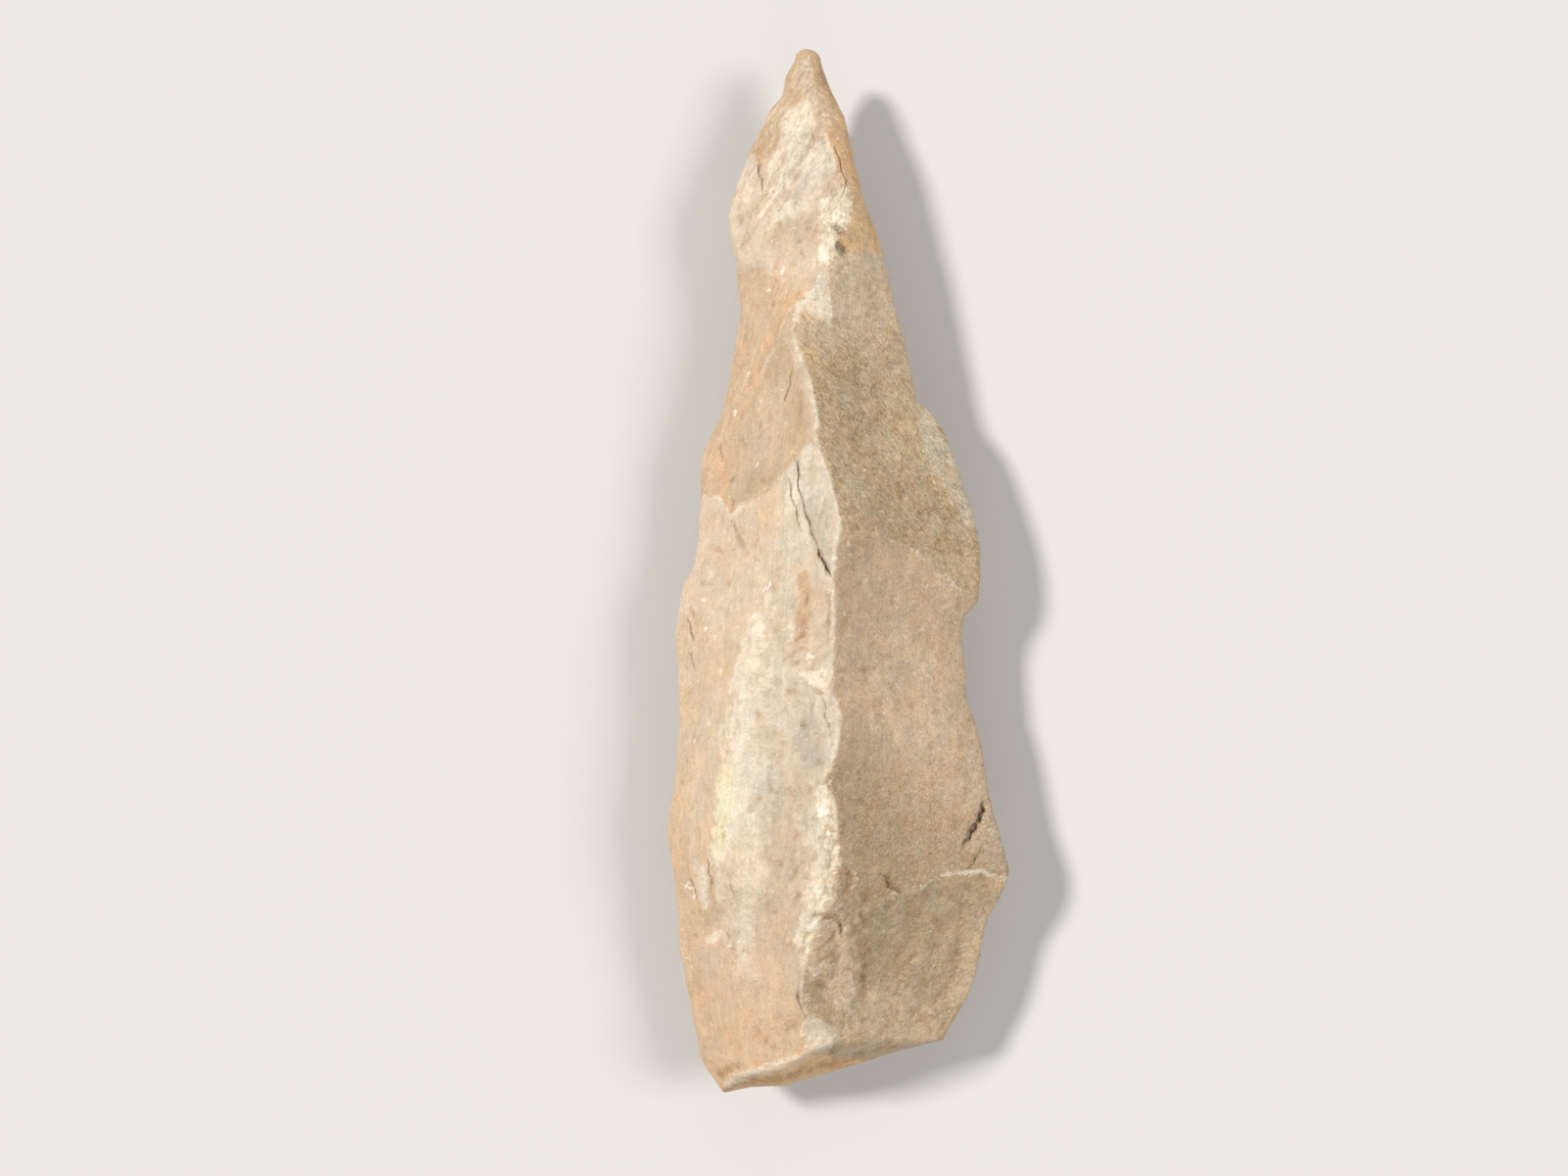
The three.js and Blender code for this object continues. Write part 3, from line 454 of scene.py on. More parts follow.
def tip_round(v):
    return np.sqrt(1 - (1 - clamp((HALF + 0.05 - v) / 8)) ** 2)


ROW_STEP = 0.84
TOP_COUNTS = ((60, 52, 86))
LOW_COUNTS = ((25, 26, 25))

start = [0.0, 0.35, 0.8, 1.4, 2.1]
rows = start + list(np.arange(2.9, 270.0, ROW_STEP))
y = rows[-1]
while HALF * 2 - y > 0.12:
    y += min(ROW_STEP, (HALF * 2 - y) * 0.18)
    rows.append(y)
T = np.array(rows) / LENGTH
R = len(T)
zero, one = 0 * T, 0 * T + 1
lu, lv, width = place(T, zero)
ru, rv, _ = place(T, one)
left_z, right_z = edge_height(lu, lv), edge_height(ru, rv)


def columns(stops, counts):
    rim = np.minimum(EDGE_COLUMN / width, 0.09)
    knots = [rim, *stops, 1 - rim]
    parts = [zero[:, None], (rim * 0.12)[:, None], (rim * 0.45)[:, None]]
    for k, n in enumerate(counts):
        q = np.arange(n)[None, :] / n
        parts.append(knots[k][:, None] + (knots[k + 1] - knots[k])[:, None] * q)
    parts += [(1 - rim)[:, None], (1 - rim * 0.45)[:, None], (1 - rim * 0.12)[:, None], one[:, None]]
    return np.concatenate(parts, 1)


ridge_s = share_of(ridge_at, T, 0.3, 0.86)
shoulder_s = np.minimum(share_of(lambda v: eased(SHOULDER, v, 5), T, 0.12, 0.8), ridge_s - 0.1)
mid_v = place(T, 0 * T + 0.5)[1]

# ridged face
S = columns([shoulder_s, ridge_s], TOP_COUNTS)
TT = np.repeat(T[:, None], S.shape[1], 1)
U, V, W = place(TT, S)
in_left, in_right = S * W, (1 - S) * W
reach = np.minimum(np.minimum(in_left, in_right), np.minimum(np.maximum(butt_reach(U, V), 0), HALF - V + 0.2))
rounding = blunt(reach) * step(0, 6, HALF + 1.5 - V)
to_edge = np.exp(-np.minimum(in_left, in_right) * 2)
edge_z = np.where(S < 0.5, left_z[:, None], right_z[:, None])
inland = step(0.1, 2.5, np.minimum(reach, HALF - V))
drop, crack_dark = cracks(U, V)
detail = fine_upper(U, V) * inland - drop * inland
H = np.maximum(upper(U, V), -2.2) * (1 - to_edge) + edge_z * to_edge + rounding + detail
H = H * np.sqrt(1 - (1 - clamp((HALF + 0.05 - V) / 8)) ** 2)
H[0] = edge_height(U[0], V[0])
H[:, 0], H[:, -1] = left_z, right_z
X, Y = lift(U, V, H)
X[:, 0], Y[:, 0], X[:, -1], Y[:, -1] = lu, lv, ru, rv
X[0], Y[0] = U[0], V[0]
top_xyz = np.stack([X, Y, EDGE_Z + H], -1)

# underside
a_s, b_s = eased(UNDER_LEFT, mid_v, 14), eased(UNDER_RIGHT, mid_v, 14)
S2 = columns([a_s, b_s], LOW_COUNTS)
TT2 = np.repeat(T[:, None], S2.shape[1], 1)
U2, V2, W2 = place(TT2, S2)
need_left, need_right = left_z + under(lu, lv) * tip_round(lv), right_z + under(ru, rv) * tip_round(rv)
in_left2, in_right2 = S2 * W2, (1 - S2) * W2
sides = need_left[:, None] * np.exp(-in_left2 / EDGE_FADE) * (1 - S2) + need_right[:, None] * np.exp(-in_right2 / EDGE_FADE) * S2
U0, V0, W0 = place(0 * TT2, S2)
sides0 = need_left[0] * np.exp(-S2 * W0 / EDGE_FADE) * (1 - S2) + need_right[0] * np.exp(-(1 - S2) * W0 / EDGE_FADE) * S2
need_butt = edge_height(U0, V0) + under(U0, V0) - sides0
reach2 = np.minimum(np.minimum(in_left2, in_right2), np.minimum(np.maximum(butt_reach(U2, V2), 0), HALF - V2 + 0.2))
round2 = blunt(reach2) * step(0, 6, HALF + 1.5 - V2)
inland2 = step(0.1, 2.5, np.minimum(reach2, HALF - V2))
Z2 = EDGE_Z - under(U2, V2) * tip_round(V2) + sides + need_butt * np.exp(-TT2 * LENGTH / EDGE_FADE) - round2
Z2 = Z2 + fine_under(U2, V2) * inland2
low_xyz = np.stack([U2, V2, np.maximum(Z2, 0)], -1)

# vertices: the whole ridged grid, then the underside's inner points, then the tip
n_top = top_xyz.shape[1]
n_low = low_xyz.shape[1]
top_id = np.arange(R * n_top).reshape(R, n_top)
low_id = np.zeros((R, n_low), int)
inner = np.arange((R - 1) * (n_low - 2)).reshape(R - 1, n_low - 2) + R * n_top
low_id[1:, 1:-1] = inner
low_id[:, 0], low_id[:, -1] = top_id[:, 0], top_id[:, -1]
tip_id = R * n_top + inner.size
verts = np.concatenate([
    top_xyz.reshape(-1, 3), low_xyz[1:, 1:-1].reshape(-1, 3),
    np.array([[LEFT_EDGE[0][0], LEFT_EDGE[0][1], EDGE_Z]]),
])
verts[:, 0] += CENTRE_SHIFT
flat_u = np.concatenate([U.reshape(-1), U2[1:, 1:-1].reshape(-1), [LEFT_EDGE[0][0]]])
flat_v = np.concatenate([V.reshape(-1), V2[1:, 1:-1].reshape(-1), [LEFT_EDGE[0][1]]])
is_low = np.concatenate([np.zeros(R * n_top), np.ones(inner.size), [0.5]])

faces = []
a, b, c, d = top_id[:-1, :-1], top_id[:-1, 1:], top_id[1:, 1:], top_id[1:, :-1]
faces += np.stack([a, b, c, d], -1).reshape(-1, 4).tolist()
a, b, c, d = low_id[1:-1, :-1], low_id[2:, :-1], low_id[2:, 1:], low_id[1:-1, 1:]
faces += np.stack([a, b, c, d], -1).reshape(-1, 4).tolist()
for k in range(n_top - 1):
    faces.append([int(top_id[-1, k]), int(top_id[-1, k + 1]), tip_id])
for k in range(n_low - 1):
    faces.append([int(low_id[-1, k + 1]), int(low_id[-1, k]), tip_id])
# the butt row has more points above than below, so the two are laced together
i = j = 0
upper_row, lower_row = top_id[0], low_id[1]
while i < n_top - 1 or j < n_low - 1:
    if j == n_low - 1 or (i < n_top - 1 and S[0, i + 1] < S2[1, j + 1]):
        faces.append([int(upper_row[i + 1]), int(upper_row[i]), int(lower_row[j])])
        i += 1
    else:
        faces.append([int(upper_row[i]), int(lower_row[j]), int(lower_row[j + 1])])
        j += 1

mesh = bpy.data.meshes.new("hand_axe_stone")
mesh.from_pydata((verts / 1000.0).tolist(), [], faces)
mesh.update()
mesh.shade_smooth()
axe = bpy.data.objects.new("hand_axe_stone", mesh)
bpy.context.collection.objects.link(axe)
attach(axe, "root")
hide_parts("hand_axe")


# ---------------------------------------------------------------- masks, 0 to 1, worked out per point of the skin
def band(bends, u, v, half, soft=0.6):
    r, _, share = nearest(bends, u, v)
    ends = step(-0.05, 0.12, share) * step(-0.05, 0.12, 1 - share)
    return (1 - step(half * (1 - soft), half * (1 + soft), r)) * (0.3 + 0.7 * ends)


def ribbon(bends, u, v, soft=0.5):
    """A band whose half width changes: bends are across, along, half width."""
    r, _, share = nearest([(b[0], b[1]) for b in bends], u, v)
    return 1 - step(1 - soft, 1 + soft, r / np.interp(share, np.linspace(0, 1, len(bends)), [b[2] for b in bends]))


ARC = [(-5, 11.5), (0.8, 11.1), (7.9, 10.3), (13.2, 8.9), (18.4, 6.8), (23.7, 2.6), (28.9, -2.1), (32.9, -4.7), (38.9, -8.9)]
WHITE_ARC = [(-5, -95), (6.8, -92.4), (15.8, -87.6), (23.4, -84.7), (26.1, -82.4), (28.9, -81.6), (34.5, -81.3), (38.2, -80.8), (41.8, -81.8), (47, -83.4)]
SECOND = [(-21.8, -14.2), (-26.3, -30.3), (-27.6, -46.3), (-30.3, -57.6), (-31.6, -68.7), (-32.6, -78)]
BUTT_ARRIS = [(-30, -141), (-27.6, -138.7), (-18.7, -133.7), (-10.5, -129.2), (-2.9, -130.3), (8.7, -131), (22, -128.5), (30, -126)]
LOW_CREST = [(-3.2, -57.2, 1.2), (-3.4, -60.2, 2.0), (-3.2, -64.2, 2.6), (-3.0, -69.2, 1.5), (-1.4, -73.8, 2.1), (-0.9, -78.2, 2.3), (-2.4, -81.8, 1.3), (-3.7, -86.3, 1.8), (-5.0, -90.4, 1.2), (-7.4, -97.5, 1.1), (-8.6, -102, 0.6)]
RAGGED = [(-36.6, 20), (-31.6, 19.3), (-29.5, 14.3), (-24.8, 17.4), (-18.6, 21.8), (-12.4, 29.2), (-6.8, 35.1), (-3, 37)]
DIAGONAL = [(34, -28.9), (42.9, -24.2), (50.5, -21.1), (60.3, -17.4), (70.3, -12.9), (81.6, -2.4), (86, 1)]  # along, across


def masks(u0, v0, low):
    """Every colour zone of the stone: name -> mask."""
    u = u0 + 1.1 * rough(u0, v0, 7, 3, 401)
    v = v0 + 1.3 * rough(u0, v0, 7, 3, 431)
    uw = u0 + 5.0 * rough(u0 + 0.35 * v0, v0 * 0.8 - 0.3 * u0, 11, 5, 407, 0.6)  # for the wide, drifting zones
    vw = v0 + 7.0 * rough(u0, v0, 15, 4, 437)
    ridge = ridge_at(v0)
    up = 1 - low
    right = up * step(-0.35, 0.35, u0 - ridge)
    left = up - right
    shoulder = eased(SHOULDER, v, 3)
    arc = v - along(ARC, u)
    white = v - along(WHITE_ARC, u)
    ragged = v - along(RAGGED, u)
    diag = along(DIAGONAL, v) - u
    lu, ru = edge_at(LEFT_EDGE, clamp(v0, -139.9, 139.9)), edge_at(RIGHT_EDGE, clamp(v0, -126.2, 139.9))
    m = {}
    m["flank"] = left * step(-1.5, 2.0, shoulder - u) * (1 - step(18, 34, v))
    m["mid_pink"] = left * (1 - step(-1, 1, ragged)) * step(-24, -8, vw) * step(0, 12, -15 - uw)
    m["mid_pale"] = left * (1 - step(-1, 1, ragged)) * step(-30, -12, vw) * step(-22, -10, uw)
    m["plateau"] = left * step(-1, 2, u - shoulder) * step(-80, -60, vw) * (1 - step(-30, -14, vw))
    m["plateau_low"] = left * blob(uw, vw, -11, -72, 22, 9, 92, 0.6)
    # pale bands along the second ridge: painted highlight where the face turns towards the key light
    m["second_wide"] = left * ribbon([(-19, -6, 1.5), (-21, -20, 3.2), (-24.4, -38, 5.0), (-25.6, -54, 5.8), (-26.6, -70, 4.8), (-26.6, -84, 3.2)], uw, vw, 0.9) * (0.5 + 0.5 * (1 - step(-46, -18, vw)))
    m["second"] = left * band([(a + 0.6, b) for a, b in SECOND], u, v, 2.6, 0.6)
    m["second_sun"] = left * band([(-29.6, -52), (-31, -62), (-32, -72), (-33, -76)], u, v, 1.9, 0.6)
    m["pale_low"] = left * blob(uw, vw, -27, -80, 14, 7, 80, 0.6)
    m["bl_pale"] = left * blob(uw, vw, -27, -94, 16, 4.6, 94, 0.9)
    m["bl_pink"] = left * (1 - step(-100, -86, vw))
    m["bl_shade"] = left * blob(uw, vw, -15, -103, 20, 7, 96, 0.8)
    m["bl_orange"] = left * (1 - step(-132, -104, vw + 0.35 * (uw + 20)))
    m["flank_pale"] = left * blob(u, v, -36.5, -42, 14, 4.5, 88, 0.9)
    m["plateau_pale"] = left * blob(u, v, -17.5, -45.5, 12, 6, 92, 0.9)
    m["bl_rose"] = left * np.maximum(blob(uw, vw, -17, -112, 17, 5, 96, 0.8), blob(uw, vw, -29, -119, 9, 4.5, 100, 0.8))
    m["bl_chips"] = left * np.maximum.reduce([blob(u0, v0, -36.9, -83.0, 5.4, 2.3, 106, 0.6), blob(u0, v0, -40.4, -84.2, 4.6, 1.5, 112, 0.6), blob(u0, v0, -36.2, -87.6, 3.6, 1.3, 96, 0.3), blob(u0, v0, -31.8, -85.2, 3.8, 1.6, 92, 0.4), blob(u0, v0, -33.2, -98.2, 2.6, 1.3, 40, 0.4)])
    m["bl_hollow"] = left * blob(u, v, -34.5, -92.4, 8, 3.0, 14, 0.6)
    m["bl_band"] = left * blob(u + 0.3 * (uw - u0), v, -24.8, -96, 11, 2.5, 93, 0.8)
    m["bl_edge"] = left * (1 - step(2, 9, u - lu)) * (1 - step(-76, -36, v))
    m["ridge_soft"] = left * ribbon([(-5.4, -58, 1.0), (-5.6, -64, 2.2), (-5.4, -71, 2.0), (-3.6, -78, 2.6), (-5.2, -85, 2.6), (-7.0, -91, 2.0), (-9.6, -98, 1.6), (-10.6, -103, 0.6)], u0 + 2.6 * rough(u0, v0, 6, 4, 541), v0 + 2.6 * rough(u0, v0, 6, 4, 551), 0.9)
    m["ridge_low"] = up * ribbon(LOW_CREST, u0 + 1.7 * rough(u0, v0, 3.2, 3, 511), v0 + 1.7 * rough(u0, v0, 3.2, 3, 521), 0.5)
    m["blue"] = left * blob(u, v, -7.0, -47, 9, 3.6, 100, 0.6)
    m["slab"] = left * step(-0.2, 0.5, u0 - np.interp(v0, [-1.8, 2.6, 9.5, 16.3, 20.5, 25.5, 28.9, 34], [-1.3, -3.7, -6.8, -8.9, -9.7, -10.8, -11.3, -11.6])) * step(-1.5, 2, v0) * (1 - step(28, 34, v0))
    m["slab_pale"] = left * blob(u, v, -7, 26, 8, 2.6, 100, 0.5)
    m["rosy"] = left * blob(uw, v, -7, -12, 15, 6, 92, 0.7)
    m["stain"] = left * ribbon([(-9.1, -1.6, 1.0), (-8.7, -4.8, 1.8), (-8.8, -8.6, 1.4), (-9.3, -12.4, 1.8), (-10.0, -15.4, 1.6), (-10.9, -18.4, 0.6)], u + 0.25 * (uw - u0), v, 0.8)
    m["stain_b"] = up * ribbon([(-2.3, -5.6, 0.3), (-2.5, -8, 0.6), (-2.3, -10.4, 0.35), (-2.6, -12.4, 0.55), (-2.2, -14.8, 0.25)], u0 + 0.3 * noise(u0, v0, 1.6, 531), v0, 0.7)
    above = left * step(-0.6, 0.6, ragged) * (1 - step(70, 84, v + 0.3 * u))
    blend = 0.7 + 5.5 * (1 - step(34, 54, v))
    m["red"] = above * step(-blend, blend, diag + 0.2)
    m["red_deep"] = above * step(-0.5, 0.9, diag) * np.maximum(band([(-4.5, 79.5), (-12.6, 68), (-17.6, 57), (-21.6, 47), (-25, 37), (-27.8, 27)], u, v, 3.0, 0.6), blob(u, v, -28.5, 24, 8, 4, 76, 0.6))
    m["facet"] = above * (1 - step(-blend, blend, diag + 0.2))
    m["facet_rosy"] = above * blob(u, v, -18, 41, 16, 4.5, 64, 0.7)
    m["facet_white"] = right * (1 - step(-0.35, 0.35, u0 - np.interp(v0, [64, 81], [-1.2, -2.6]))) * step(63.5, 70.0, v + 0.6 * (vw - v0) + 0.54 * (u0 + 1.6)) * (1 - step(81, 84, v0))
    m["tip_low"] = left * step(68, 82, v + 0.3 * u)
    m["tip_cream"] = left * step(84, 95, v + 0.25 * u)
    m["tip_white"] = left * np.maximum.reduce([blob(u, v, -10.6, 119.5, 8.5, 4.4, 70, 0.4), blob(u, v, -14.5, 109.5, 9, 3.4, 62, 0.4), blob(u, v, -5.4, 109, 8.5, 4.2, 68, 0.4), 0.3 * blob(u, v, -25.6, 98.6, 8, 3.2, 72, 0.6), blob(u, v, -14, 95, 7, 3.2, 40, 0.5)])
    m["tip_line"] = left * band([(-11.0, 113.4), (-14.5, 107), (-18.4, 99.6), (-21.5, 93)], u, v, 0.55, 0.8)
    m["tip_tan"] = left * step(80, 92, v) * np.maximum(blob(u, v, -20.5, 113.5, 10, 2.6, 62, 0.5), blob(u, v, -11, 90, 9, 5, 20, 0.6))
    m["tip_lilac"] = left * np.maximum(blob(u, v, -7, 104.5, 8, 3.2, 58, 0.5), blob(u, v, -24.5, 107, 5, 2.4, 68, 0.5))
    m["tip_pink"] = left * np.maximum(band([(-14.4, 112), (-17.6, 104.5), (-21.2, 97), (-24.5, 88)], u, v, 1.4, 0.6), blob(u, v, -9, 90, 9, 5, 35, 0.5))
    m["tip_strip"] = right * step(82, 90, v)
    # tip_warm: painted shadow, an ochre band beside the step on the tip's right face
    m["tip_warm"] = up * band([(-1.5, 121), (1.9, 112), (4.2, 103), (3.2, 98)], u, v, 2.2, 0.6)
    m["knob"] = up * step(124.5, 130, v - 0.4 * (u + 8))
    m["knob_pink"] = up * np.maximum(blob(u, v, -9.5, 133, 4.5, 2.6, 80, 0.6), blob(u, v, -4, 124, 5, 2.6, 120, 0.6))
    m["knot"] = up * np.maximum(band([(-2.6, 98), (-2.2, 91), (-1.5, 86.5), (-3.6, 83)], u, v, 2.5, 0.5), blob(u, v, 0.1, 95.5, 8, 2.9, 80, 0.4))
    m["knot_dark"] = up * np.maximum(blob(u0, v0, 0.6, 86.4, 2.3, 1.2, 110, 0.4), blob(u0, v0, -0.4, 91.4, 2.2, 0.7, 135, 0.4))
    m["knot_brown"] = up * np.maximum(ribbon([(-0.9, 93.4, 0.4), (1.2, 91.2, 0.8), (3.6, 88.6, 0.5)], u0, v0, 0.5), ribbon([(1.6, 93.6, 0.3), (3.2, 91.2, 0.6), (4.4, 89.4, 0.3)], u0, v0, 0.5))
    m["scar"] = right * (1 - step(-0.7, 0.7, arc)) * step(-1, 1, white)
    m["scar_top"] = right * (1 - step(-0.7, 0.7, arc)) * step(-16, 4, vw - 0.35 * uw)
    m["scar_mid"] = right * blob(uw, vw, 18, -36, 20, 13, 100, 0.8)
    m["scar_low"] = right * (1 - step(-70, -26, vw + 0.6 * uw)) * step(-1, 1, white)
    m["scar_edge"] = right * (1 - step(2, 10, ru - u)) * (1 - step(-0.7, 0.7, arc)) * step(-1, 1, white)
    m["brown"] = right * step(-0.5, 0.5, arc + 0.6 * rough(u0, v0, 2.2, 2, 443)) * (1 - step(40, 84, v + 0.5 * u))
    low_share = right * np.where(white < 0, 0.6, 0.5 + 0.3 * (1 - step(-75, -25, vw)))
    m["patina"] = np.maximum(right * step(-0.5, 0.5, arc + 0.6 * rough(u0, v0, 2.2, 2, 443)) * (1 - 0.85 * step(52, 84, v)), low_share) * (1 - m["facet_white"])
    m["lower_fibre"] = right * (1 - step(-60, -35, v))
    m["brown_deep"] = m["brown"] * np.maximum(blob(uw, vw, 2, 42, 26, 8, 100, 0.6), blob(uw, vw, 20, 14, 16, 9, 140, 0.6))
    m["brown_rim"] = right * blob(u, v, 30.2, 27, 17, 3.6, -66, 0.5)
    m["lower"] = right * (1 - step(-1.2, 1.2, white))
    m["lower_pale"] = right * (1 - step(-1.2, 1.2, white)) * np.maximum(1 - step(2, 9, ru - uw), 1 - step(-124, -108, vw))
    m["steps"] = up * blob(uw, vw, -0.5, -99, 19, 8, 96, 0.6)
    m["steps_dark"] = up * blob(u, v, -6, -96, 9, 3.4, 76, 0.5)
    m["chip"] = up * blob(u, v, -5.4, -125.0, 4.6, 4.6, 70, 0.35)
    m["butt"] = up * (1 - step(-0.8, 0.4, v0 - along(BUTT_ARRIS, u0)))
    m["hinge"] = left * step(-0.6, 0.6, 2.5 + 0.35 * (u + 5) - np.abs(v + 28.2 + 0.35 * (u + 7))) * step(-11.5, -8.5, u) * (1 - step(-4.6, -3.6, u))
    m["sliver"] = left * band([(-13.0, 28), (-11.9, 22), (-10.6, 17), (-9.6, 12), (-7.8, 7.6)], u0, v0, 0.75, 0.6)
    m["bloom"] = left * (1 - step(-1, 1, ragged)) * step(-25, -15, uw - 0.12 * v) * step(-84, -62, vw)
    m["calm"] = np.maximum(left, 0.3 * m["scar"])
    m["streaked"] = left * (1 - 0.6 * step(-1, 1, ragged)) * (1 - step(66, 84, v))
    m["crumbly"] = np.maximum.reduce([m["ridge_low"], 0.5 * m["knot"], 0.35 * m["chip"], 0.2 * m["tip_white"], 0.25 * m["bl_chips"]])
    m["under"] = low
    m["under_patina"] = low * step(-0.2, 0.35, rough(u0, v0, 34, 3, 461) + 0.25 * np.sin(v0 / 40))
    m["patina"] = np.maximum(m["patina"], 0.7 * m["under_patina"])
    # crumbled pale lines along the breaks: half width, strength, bends
    rim = 0 * u
    for half, strength, bends in RIMS:
        rim = np.maximum(rim, strength * band(bends, u0 + 0.4 * noise(u0, v0, 3.1, 481), v0 + 0.4 * noise(u0, v0, 3.1, 491), half, 0.9))
    m["rim"] = up * rim
    # small pale bruises
    fleck = 0 * u
    for fu, fv, a, b, degrees in FLECKS:
        fleck = np.maximum(fleck, blob(u0 + 0.35 * noise(u0, v0, 0.9, 471), v0, fu, fv, a, b, degrees, 0.4))
    m["fleck"] = up * fleck
    return m


RIMS = [
    (1.2, 0.62, [(-2.9, 81), (-5.3, 78.2), (-10.5, 70.5), (-12.6, 64.5)]),
    (0.8, 0.40, [(-12.4, 65), (-11.6, 61.1), (-10.3, 58.2), (-9.2, 54.2), (-7.4, 51.6), (-7.1, 46.8), (-5.8, 42.9), (-5.5, 39.2), (-6.3, 35)]),
    (0.6, 0.40, [(-6.3, 36), (-4.5, 31.6), (-2.1, 24), (-0.5, 18.2)]),
    (1.0, 0.42, [(-0.5, 18.2), (0.5, 13.4), (-0.3, 8), (-1, 3), (-2, -2)]),
    (1.2, 0.40, [(-2, -2), (-1.6, -6), (-1.8, -12), (-2.2, -17)]),
    (0.8, 0.43, [(-1.2, -17), (-1, -24), (-1.2, -28.4)]),
    (1.0, 0.42, [(-1.2, -28.4), (-3, -31.6), (-0.5, -34.5), (0.3, -37.4), (0.3, -44.5)]),
    (1.1, 0.50, [(0.3, -44.5), (-1.2, -50.3), (-3.2, -54.5), (-4.4, -57.4)]),
    (1.0, 0.35, [(-5, -58), (-3.4, -62), (-2.6, -68), (-2, -74), (-2.4, -80)]),
    (1.0, 0.40, [(-2.2, -80), (-3.6, -86), (-6.4, -93), (-8.6, -99)]),
    (1.0, 0.50, [(-8.8, -99), (-9.6, -105), (-9.8, -110)]),
    (0.7, 0.46, [(-36, 20), (-32, 19), (-29.5, 15), (-27, 16.4)]),
    (0.7, 0.37, [(-24.8, 17.9), (-18.6, 22.3), (-15, 26)]),
    (0.6, 0.34, [(-28, 43), (-24.5, 53), (-21.5, 61)]),
    (0.6, 0.31, [(-26.4, 30), (-22, 42), (-18.6, 51)]),
    (0.55, 1.0, [(45.8, -82.9), (41.8, -81.8), (38.2, -80.8), (34.5, -81.3), (28.9, -81.6), (26.1, -82.4)]),
    (0.5, 0.8, [(26.1, -82.4), (23.4, -84.9), (21, -86.2)]),
    (0.45, 0.55, [(-5.4, -79), (-1.8, -77.6), (2.2, -79.2), (4.9, -82.2)]),
    (0.5, 0.6, [(-12.2, 28.4), (-13.8, 24.8), (-14.4, 20.4)]),
    (0.55, 0.95, [(-28, -137.6), (-21, -133.6), (-15, -131.4), (-9.5, -130.4)]),
    (0.7, 0.43, [(-0.5, -79.5), (2.6, -78.9), (5.5, -81.3), (5.8, -84.2), (4.5, -86.6)]),
    (0.7, 0.56, [(2.6, -95.3), (3.9, -99.7), (5, -106.3), (3.9, -111.8)]),
    (0.6, 0.37, [(6.5, -91.5), (9.5, -90.4), (13, -88.6)]),
    (0.7, 0.46, [(-38, -76), (-34, -80), (-30, -82), (-26, -81.6), (-23, -84)]),
    (0.9, 0.50, [(-13, -27.2), (-10.5, -27.1), (-4.7, -30.3), (-0.3, -33.9)]),
    (0.7, 0.40, [(-40.3, -10.8), (-38.9, -17.9), (-39.2, -22.9), (-37.9, -28.7), (-38.2, -34.5)]),
    (0.8, 0.43, [(-29, -138), (-27.6, -138.7), (-18.7, -133.7), (-12, -130)]),
    (0.6, 0.6, [(13, 8.9), (18.4, 6.8), (23.7, 2.6), (28.9, -2.1), (34, -5.8)]),
    (0.6, 0.37, [(-4.5, 122.9), (-1.5, 121.5), (1, 121)]),
    (0.8, 0.50, [(-2, 114.5), (-0.8, 109.7), (1.2, 104.2), (-0.4, 100)]),
    (0.7, 0.43, [(-11.4, 112.5), (-15, 104.5), (-18.5, 98)]),
    (0.6, 0.37, [(-13.5, 121), (-15.8, 113), (-17.5, 106)]),
]
FLECKS = [
    (-14.9, 80.5, 1.3, 0.55, 70), (-18.6, 75.3, 0.8, 0.5, 60), (12.1, -36.8, 0.4, 0.35, 80), (12.4, -38.4, 0.7, 0.35, 100),
    (18.2, -38.7, 0.5, 0.35, 20), (22.6, -37.1, 0.4, 0.4, 70), (-27.6, 42.4, 1.2, 0.5, 65), (-23.8, 53.0, 0.9, 0.4, 60),
    (-21.7, 28.6, 1.0, 0.35, 75), (-19.5, -5.0, 1.3, 0.5, 35), (-18.2, -3.6, 0.9, 0.45, 80), (-21.6, -8.4, 0.9, 0.4, 65),
    (-22.6, -11.9, 1.2, 0.5, 75), (-20.6, -15.9, 0.9, 0.5, 60), (-21.3, -17.2, 0.7, 0.6, 20), (-36.1, -8.2, 0.6, 0.5, 50),
    (-30.8, -15.0, 1.2, 0.3, 85), (-33.2, -18.0, 0.9, 0.3, 88), (-35.6, -15.8, 1.0, 0.35, 85), (-31.4, -27.5, 1.4, 0.35, 86),
    (-38.6, -45.6, 1.2, 0.3, 80), (-34.8, -41.0, 0.8, 0.3, 84), (-7.6, -23.0, 1.3, 0.8, 160), (-5.9, -29.0, 1.3, 0.8, 150),
    (1.8, -11.5, 0.7, 0.4, 120), (-6.1, -108.6, 0.7, 0.6, 30), (-5.6, -107.4, 0.5, 0.4, 30), (12.0, -120.5, 0.45, 0.35, 10),
    (27.3, -108.0, 0.4, 0.3, 30), (-40.6, -84.4, 1.5, 0.5, 60), (-38.4, -87.2, 1.1, 0.5, 60), (-39.4, -85.2, 0.8, 0.5, 20),
    (-27.6, -89.8, 0.8, 0.3, 70), (-26.6, -99.8, 0.9, 0.45, 40), (-29.2, -100.8, 0.7, 0.45, 80), (4.0, -85.0, 0.8, 0.4, 60),
    (15.3, -86.5, 0.7, 0.4, 50), (-2.7, -70.3, 0.9, 0.6, 60), (-11.3, -51.5, 0.35, 0.35, 0), (26.8, -52.6, 0.9, 0.3, 50),
    (0.3, -38.5, 0.6, 0.4, 80), (1.4, -46.4, 0.5, 0.35, 70), (7.2, 26.8, 0.6, 0.5, 90), (2.9, 7.2, 0.9, 0.4, 100),
    (-0.9, 3.4, 0.9, 0.7, 80), (17.7, 45.1, 0.4, 0.35, 90), (22.9, -85.3, 0.5, 0.35, 40), (25.5, -106, 0.4, 0.3, 60),
]


